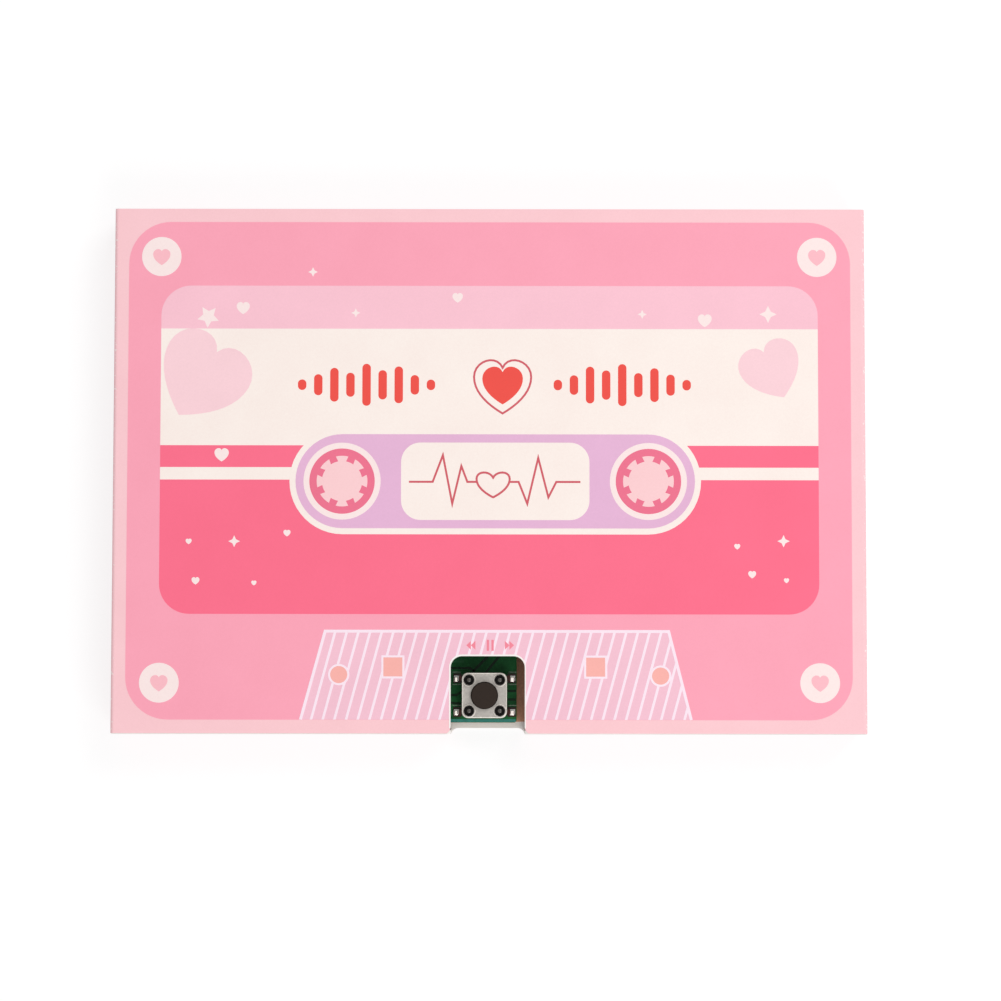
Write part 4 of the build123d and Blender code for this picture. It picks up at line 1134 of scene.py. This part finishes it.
class CARD_OT_detail_board(bpy.types.Operator):
    """Add the tracks, clearance lines, legends and soldered joints of the circuit board"""

    bl_idname = "card.detail_board"
    bl_label = "Detail circuit board"

    # Copper lines under the green, and the dark gaps between copper
    tracks = (((-7.2, -27.0), (-5.2, -25.4), (-3.4, -25.4)), ((-8.6, -28.6), (-8.6, -24.0)),
              ((-5.2, -32.2), (-8.8, -32.2)), ((-30.2, -24.0), (-30.2, -27.0), (-25.0, -30.6)),
              ((-22.4, -22.9), (-19.5, -25.6), (-14.0, -25.6)), ((-9.0, -19.0), (-8.0, -19.0)))
    gaps = (((-2.15, -26.75), (-0.65, -25.2), (0.6, -23.8)), ((-0.45, -26.9), (0.85, -25.3), (1.9, -24.0)),
            ((-5.3, -26.3), (-2.6, -26.3), (-2.0, -26.7)), ((-5.3, -29.9), (-4.4, -29.9), (-3.7, -29.5)),
            ((2.45, -29.35), (3.6, -29.35)), ((2.45, -30.5), (3.6, -30.5)), ((-5.3, -30.9), (-3.7, -31.1)))
    track_width, gap_width, legend_width = 0.3, 0.34, 0.12
    # Lighter teal strip at the board's foot, a painted sheen of the glossy mask, as distances from its left,
    # right and lower edge, and its corner
    strip_left, strip_right, strip_low, strip_high, strip_corner = 0.5, 0.12, 0.06, 0.46, 0.1
    # Pale marks beside a switch: their ends and levels from its middle; room round the outlined parts
    mark_ends, mark_levels = (3.2, 4.3), (-1.38, 1.42, 3.08)
    chip_room, row_room, outline_corner = (0.9, 0.3), (0.3, 0.35), 0.1
    # Solder over a foot: its size, height and rounding, and where the feet are from the middle of a switch
    blob, blob_rise, blob_round = (0.62, 0.6, 0.3), 0.24, 0.06
    feet_shift, feet_out = (-0.1, -0.14), (3.78, 2.25)
    # Solder over a wire's end: its radii and height, and its distance from the wire's end and lower side
    bead, bead_rise, bead_in, bead_down = (0.75, 0.6, 0.42), 0.04, 0.45, 0.15
    wires = ("battery_wire_negative", "battery_wire_positive", "speaker_wire_negative",
             "speaker_wire_positive")
    # Width of the board's bare edge, depth of its green, and half the room round a switch that flux browns
    bare_edge, green_depth, flux_x, flux_y = 0.02, 0.01, 5.0, 4.0

    def execute(self, context):
        stuff = context.scene.card_module
        coat_node("circuit_board", self.mask_finish(stuff))
        dull = {"Specular IOR Level": 0.2}
        copper = plain_finish("copper_under_green", stuff.copper, 0.4, grain=0.5, depth=0.003, constants=dull)
        dark = plain_finish("bare_green", lighter(stuff.board, 0.25), 0.5, grain=0.5, depth=0.002,
                            constants=dull)
        legend = plain_finish("legend", linear("#8fa291"), 0.6, grain=0.2, constants=dull)
        # A lighter teal strip along the board's foot stands for the sheen of the glossy mask there: a painted
        # sheen, not copper
        lit = plain_finish("lit_green", linear("#3f8d80"), 0.35, grain=0.9, depth=0.002, drift=0.35,
                           constants=dull)
        drawn("board_tracks", [wire(points) for points in self.tracks], self.track_width, "board", 1, copper)
        drawn("board_gaps", [wire(points) for points in self.gaps], self.gap_width, "board", 1, dark)
        drawn("board_legends", self.legends(), self.legend_width, "board", 1, legend)
        low, high = board_low, board_high
        strip = plate(low.x + self.strip_left, high.x - self.strip_right, low.y + self.strip_low,
                      low.y + self.strip_high, self.strip_corner)
        printed("board_foot_copper", [strip], "board", 1, lit)
        solder = plain_finish("solder_bright", linear("#fff1ea"), 0.16, 1.0, grain=0.3, depth=0.003,
                              drift=0.05, polish=0.08)
        finish_piece(join(self.feet()), "soldered_feet", "case", "solder", solder, smooth=50)
        finish_piece(join(self.beads()), "solder_beads", "case", "solder", solder, smooth=50)
        coat_node("solder_pads", self.pad_finish(stuff))
        return {"FINISHED"}

    def mask_finish(self, stuff):
        """Green mask with clouded copper beneath it, tan at the sawn edge."""
        finish = Finish("green_board", {"Specular IOR Level": 0.06})
        x, y, z = finish.axes()
        cloud = finish.noise(1.6, 2.0)
        fine = finish.noise(0.2, 2.0)
        green = finish.tones(stuff.board, 0.75, 1.5, finish.ramp(cloud + fine * 0.3, 0.4, 0.8))
        low, high, bare = board_low, board_high, self.bare_edge
        inner = (x > low.x + bare) & (x < high.x - bare) & (y > low.y + bare) & (y < high.y - bare)
        face = inner & (z > high.z - self.green_depth)
        layers = finish.spread(finish.noise(0.3, 2.0, (1, 1, 0.2)))
        sawn = finish.mix(linear("#6f6236"), linear("#a6925a"), layers)
        finish.feed({"Base Color": finish.mix(sawn, green, face),
                     "Roughness": finish.spread(cloud, 0.3, 0.42)})
        finish.relief(fine, 0.003)
        return finish.material

    def pad_finish(self, stuff):
        """Tinned pads, browned by flux round the feet of the push switches."""
        finish = Finish("solder_pads", {"Specular IOR Level": 0.3})
        x, y, _ = finish.axes()
        spots = [(abs(x - cx) < self.flux_x) & (abs(y - cy) < self.flux_y)
                 for cx, cy in (middle("play_button"), middle("record_button"))]
        near = spots[0] | spots[1]
        cloud = finish.noise(0.3, 3.0)
        tin = finish.mix(linear("#a9a59c"), linear("#d9d7d0"), finish.spread(cloud))
        brown = finish.tones(stuff.flux, 0.6, 1.5, finish.spread(cloud))
        finish.feed({"Base Color": finish.mix(tin, brown, near), "Metallic": (1 - near) * 0.8,
                     "Roughness": finish.spread(cloud, 0.25, 0.45)})
        finish.relief(cloud, 0.01)
        return finish.material

    def legends(self):
        """Pale marks above and below the feet of the switches, and outlines round the parts."""
        near, far = self.mark_ends
        wires = []
        for node in ("play_button", "record_button"):
            x, y = middle(node)
            wires += [wire([(x + side * near, y + up), (x + side * far, y + up)])
                      for side in (-1, 1) for up in self.mark_levels]
        for node, (dx, dy) in (("voice_chip_leads", self.chip_room), ("resistors", self.row_room),
                               ("capacitors", self.row_room)):
            low, high = box_mm(node)
            wires.append(rounded_wire(low.x - dx, high.x + dx, low.y - dy, high.y + dy, self.outline_corner))
        return wires

    def feet(self):
        """Square blob of solder over each foot of the push switches."""
        bpy.ops.mesh.primitive_cube_add(size=1, location=(0, 0, board_high.z + self.blob_rise))
        blob = bpy.context.object
        blob.scale = self.blob
        settle(blob)
        with Editing(blob):
            bpy.ops.mesh.bevel(offset=self.blob_round, segments=3)
        (dx, dy), (out_x, out_y) = self.feet_shift, self.feet_out
        spots = [(x + dx + sx * out_x, y + dy + sy * out_y)
                 for x, y in (middle("play_button"), middle("record_button"))
                 for sx in (-1, 1) for sy in (-1, 1)]
        return copies(blob, spots)

    def beads(self):
        """Domed bead of solder over the end of each wire."""
        bpy.ops.mesh.primitive_uv_sphere_add(segments=20, ring_count=10, radius=1)
        bead = bpy.context.object
        bead.scale = self.bead
        settle(bead)
        with Editing(bead):
            bpy.ops.mesh.bisect(plane_co=(0, 0, 0), plane_no=(0, 0, -1), clear_outer=True, use_fill=True)
        raised(bead, board_high.z + self.bead_rise)
        spots = []
        for node in self.wires:
            low, high = box_mm(node)
            x = low.x + self.bead_in if "speaker" in node else high.x - self.bead_in
            spots.append((x, low.y - self.bead_down))
        return copies(bead, spots)


class CARD_OT_finish_module(bpy.types.Operator):
    """Give the parts of the sound module their materials"""

    bl_idname = "card.finish_module"
    bl_label = "Finish sound module"

    # Material, its colour or the value that holds it, roughness, metallic, grain, depth, more and its nodes
    finishes = (
        ("tinned_metal", "tin", 0.28, 0.9, 0.3, 0.004, {},
         ("power_switch_pins", "power_switch_shell", "voice_chip_leads", "microphone_pins",
          "battery_lower_contacts", "battery_upper_contacts")),
        ("white_foam", "#e4e1da", 0.9, 0.0, 0.25, 0.05, {"drift": 0.08},
         ("board_tape", "battery_tape", "wire_strip")),
        ("microphone_metal", "#cfd0d0", 0.25, 1.0, 0.2, 0.002, {"stretch": (1.0, 1.0, 0.1)},
         ("microphone_can",)),
        ("black_felt", "#1b1a1a", 0.95, 0.0, 0.12, 0.06, {"drift": 0.5}, ("microphone_screen",)),
        ("speaker_steel", "#b4b5b7", 0.3, 0.95, 0.35, 0.004, {},
         ("speaker_frame", "speaker_pot", "speaker_pole")),
        ("magnet_nickel", "#bdbab4", 0.16, 1.0, 0.6, 0.002, {}, ("speaker_magnet",)),
        ("copper_wire", "#b8652f", 0.35, 0.9, 0.12, 0.03, {"stretch": (0.05, 0.05, 1.0)},
         ("speaker_voice_coil",)),
        ("speaker_film", "#cfcabd", 0.22, 0.0, 0.8, 0.004, {"drift": 0.06, "constants": {"Coat Weight": 0.3}},
         ("speaker_film",)),
        ("gasket_paper", "#2a2826", 0.85, 0.0, 0.3, 0.02, {"drift": 0.2}, ("speaker_gasket",)),
        ("terminal_board", "#8b5b2e", 0.5, 0.0, 0.25, 0.006, {"drift": 0.2}, ("speaker_terminal",)),
        ("holder_black", "#1c1b1b", 0.5, 0.0, 0.3, 0.01, {"drift": 0.2}, ("battery_holder",)),
        ("red_wire", "red_wire", 0.38, 0.0, 0.6, 0.004, {},
         ("battery_wire_positive", "speaker_wire_positive")),
        ("black_wire", "#1a1919", 0.38, 0.0, 0.6, 0.004, {"drift": 0.2},
         ("battery_wire_negative", "speaker_wire_negative")),
        ("red_lamp", "lamp", 0.08, 0.0, 1.2, 0.002,
         {"drift": 0.1, "constants": {"Transmission Weight": 0.55, "IOR": 1.5}}, ("record_lamp",)),
        ("chip_resin", "#232323", 0.55, 0.0, 0.12, 0.012, {"drift": 0.25}, ("voice_chip",)),
    )
    # Tan sheet that paints the shade beside the circuit board brown: left, right, low, high and corner, then
    # its level and thickness
    kraft, kraft_level, kraft_sheet = (3.2, 6.5, -33.5, -20.5, 0.4), 0.45, 0.12
    # Length of a tinned end
    tinned_end = 0.35

    def execute(self, context):
        stuff = context.scene.card_module
        for name, colour, roughness, metallic, grain, depth, more, nodes in self.finishes:
            colour = linear(colour) if colour[0] == "#" else getattr(stuff, colour)
            material = plain_finish(name, colour, roughness, metallic, grain, depth, **more)
            for node in nodes:
                coat_node(node, material)
        black = frame["nodes"]["play_switch_base"].data.materials[0]
        for node in ("power_switch_base", "power_switch_knob"):
            coat_node(node, black)
        cell = self.cell_finish()
        for node in ("battery_cell_1", "battery_cell_2", "battery_cell_3"):
            coat_node(node, cell)
        for node, colour in (("resistors", "#1f1f20"), ("capacitors", "#a4825c")):
            coat_node(node, self.end_finish(node, linear(colour)))
        self.kraft_strip()
        return {"FINISHED"}

    def kraft_strip(self):
        """Tan sheet on the back panel beside the circuit board, put where there is only shade so that it
        renders brown: painted shade.
        """
        strip = thicken(raised(plate(*self.kraft), self.kraft_level), self.kraft_sheet)
        # The tan sheet stands in for the shade beside the board: painted shade
        kraft = plain_finish("kraft_paper", linear("#dba488"), 0.8, grain=0.3, depth=0.02, drift=0.14,
                             constants={"Specular IOR Level": 0.2})
        finish_piece(strip, "kraft_strip", "case", "greyboard", kraft)

    def cell_finish(self):
        """Nickel-plated can, faintly clouded."""
        finish = Finish("cell_steel", {"Metallic": 1.0})
        fine = finish.noise(0.25, 3.0)
        broad = finish.noise(2.4, 2.0)
        share = finish.ramp(fine + broad, 0.7, 1.3)
        finish.feed({"Base Color": finish.mix(linear("#b5b4b0"), linear("#dddcd8"), share),
                     "Roughness": finish.spread(broad, 0.2, 0.36)})
        finish.relief(fine, 0.003)
        return finish.material

    def end_finish(self, node, colour):
        """Small two-ended part: a body with tinned ends."""
        finish = Finish(node + "_finish")
        x, _, _ = finish.axes()
        low, high = box_mm(node)
        ends = (x < low.x + self.tinned_end) | (x > high.x - self.tinned_end)
        fine = finish.noise(0.15, 2.0)
        body = finish.tones(colour, 0.85, 1.15, finish.spread(fine))
        finish.feed({"Base Color": finish.mix(body, linear("#cfcdc6"), ends), "Metallic": ends * 0.85,
                     "Roughness": finish.spread(fine, 0.3, 0.45)})
        finish.relief(fine, 0.006)
        return finish.material


class CARD_OT_set_stage(bpy.types.Operator):
    """Set the pale floor, the soft lights and the camera"""

    bl_idname = "card.set_stage"
    bl_label = "Set stage"

    # Places and sizes of the lamps and the place of the floor, in metres
    key_place, key_size = (0.28, 0.36, 0.47), 0.34
    fill_place, fill_size = (0.20, -0.46, 0.45), 0.4
    floor_place = (0.4, 0, -0.0001)
    # Grey of the floor, and its own light for the rays of other pieces and for the camera
    floor_grey, floor_glow, backdrop_glow = (0.3,) * 3, (0.46,) * 3, (0.74,) * 3
    # Place and aim of the camera in millimetres, its turn in degrees and the width of its sensor
    camera_place, camera_aim, camera_roll, sensor = (1.49, -25.36, 356.26), (1.49, -4.09, 8.0), 0.074, 36.0
    clip_start, clip_end = 0.01, 10.0

    def execute(self, context):
        stage = context.scene.card_stage
        self.floor(stage)
        self.world(context, stage)
        self.lamp("key_light", self.key_place, self.key_size, stage.key)
        self.lamp("fill_light", self.fill_place, self.fill_size, stage.fill)
        self.camera(context, stage)
        context.scene.view_settings.view_transform = "Standard"
        return {"FINISHED"}

    def floor(self, stage):
        bpy.ops.mesh.primitive_plane_add(size=stage.floor, location=self.floor_place)
        floor = bpy.context.object
        floor.name = "floor"
        finish = Finish("floor", {"Base Color": self.floor_grey, "Roughness": 0.9, "Specular IOR Level": 0.1,
                                  "Emission Strength": 1.0})
        finish.feed({"Emission Color": finish.mix(self.floor_glow, self.backdrop_glow, finish.backdrop())})
        clear = finish.node("ShaderNodeBsdfTransparent")
        below = finish.node("ShaderNodeNewGeometry", out="Backfacing")
        surface = finish.node("ShaderNodeMixShader",
                              values={0: below, 1: Socket(finish, finish.shader.outputs[0]), 2: clear})
        finish.join(finish.tree.nodes["Material Output"], {"Surface": surface})
        floor.data.materials.append(finish.material)

    def world(self, context, stage):
        world = bpy.data.worlds.new("studio")
        context.scene.world = world
        world.use_nodes = True
        air = Nodes(world.node_tree)
        strength = air.backdrop() * (1 - stage.sky) + stage.sky
        air.join(world.node_tree.nodes["Background"], {"Color": (1.0, 1.0, 1.0), "Strength": strength})

    def lamp(self, name, place, size, power):
        bpy.ops.object.light_add(type="AREA", location=place)
        lamp = bpy.context.object
        lamp.name = name
        lamp.data.size, lamp.data.energy = size, power
        lamp.rotation_euler = (-Vector(place)).to_track_quat("-Z", "Y").to_euler()

    def camera(self, context, stage):
        place, aim = Vector(self.camera_place) * MM, Vector(self.camera_aim) * MM
        bpy.ops.object.camera_add(location=place)
        camera = bpy.context.object
        camera.name = "photo_camera"
        roll = Quaternion((0, 0, 1), radians(self.camera_roll))
        camera.rotation_euler = ((aim - place).to_track_quat("-Z", "Y") @ roll).to_euler()
        camera.data.lens, camera.data.sensor_width = stage.lens, self.sensor
        camera.data.clip_start, camera.data.clip_end = self.clip_start, self.clip_end
        context.scene.camera = camera


OPERATORS = (CARD_OT_finish_card, CARD_OT_print_ground, CARD_OT_print_capsule, CARD_OT_print_figures,
             CARD_OT_print_hatch, CARD_OT_print_inside, CARD_OT_detail_switches, CARD_OT_detail_board,
             CARD_OT_finish_module, CARD_OT_set_stage)
GROUPS = {"card_sizes": CardPrintSizes, "card_colours": CardPrintColours, "card_module": CardModuleColours,
          "card_stage": CardStage}


class CARD_PT_panel(bpy.types.Panel):
    """Steps that build the greeting card, and their values"""

    bl_label = "Greeting card"
    bl_idname = "CARD_PT_panel"
    bl_space_type = "VIEW_3D"
    bl_region_type = "UI"
    bl_category = "Greeting card"

    def draw(self, context):
        for operator in OPERATORS:
            self.layout.operator(operator.bl_idname)
        for name, group in GROUPS.items():
            values = self.layout.box()
            values.label(text=group.__doc__)
            for value in group.__annotations__:
                values.prop(getattr(context.scene, name), value)


def register():
    for made in (*GROUPS.values(), *OPERATORS, CARD_PT_panel):
        bpy.utils.register_class(made)
    for name, group in GROUPS.items():
        setattr(bpy.types.Scene, name, PointerProperty(type=group))


def unregister():
    for name in GROUPS:
        delattr(bpy.types.Scene, name)
    for made in (CARD_PT_panel, *reversed(OPERATORS), *reversed(list(GROUPS.values()))):
        bpy.utils.unregister_class(made)


def main():
    register()
    for operator in OPERATORS:
        group, name = operator.bl_idname.split(".")
        getattr(getattr(bpy.ops, group), name)()


if __name__ == "__main__":
    main()
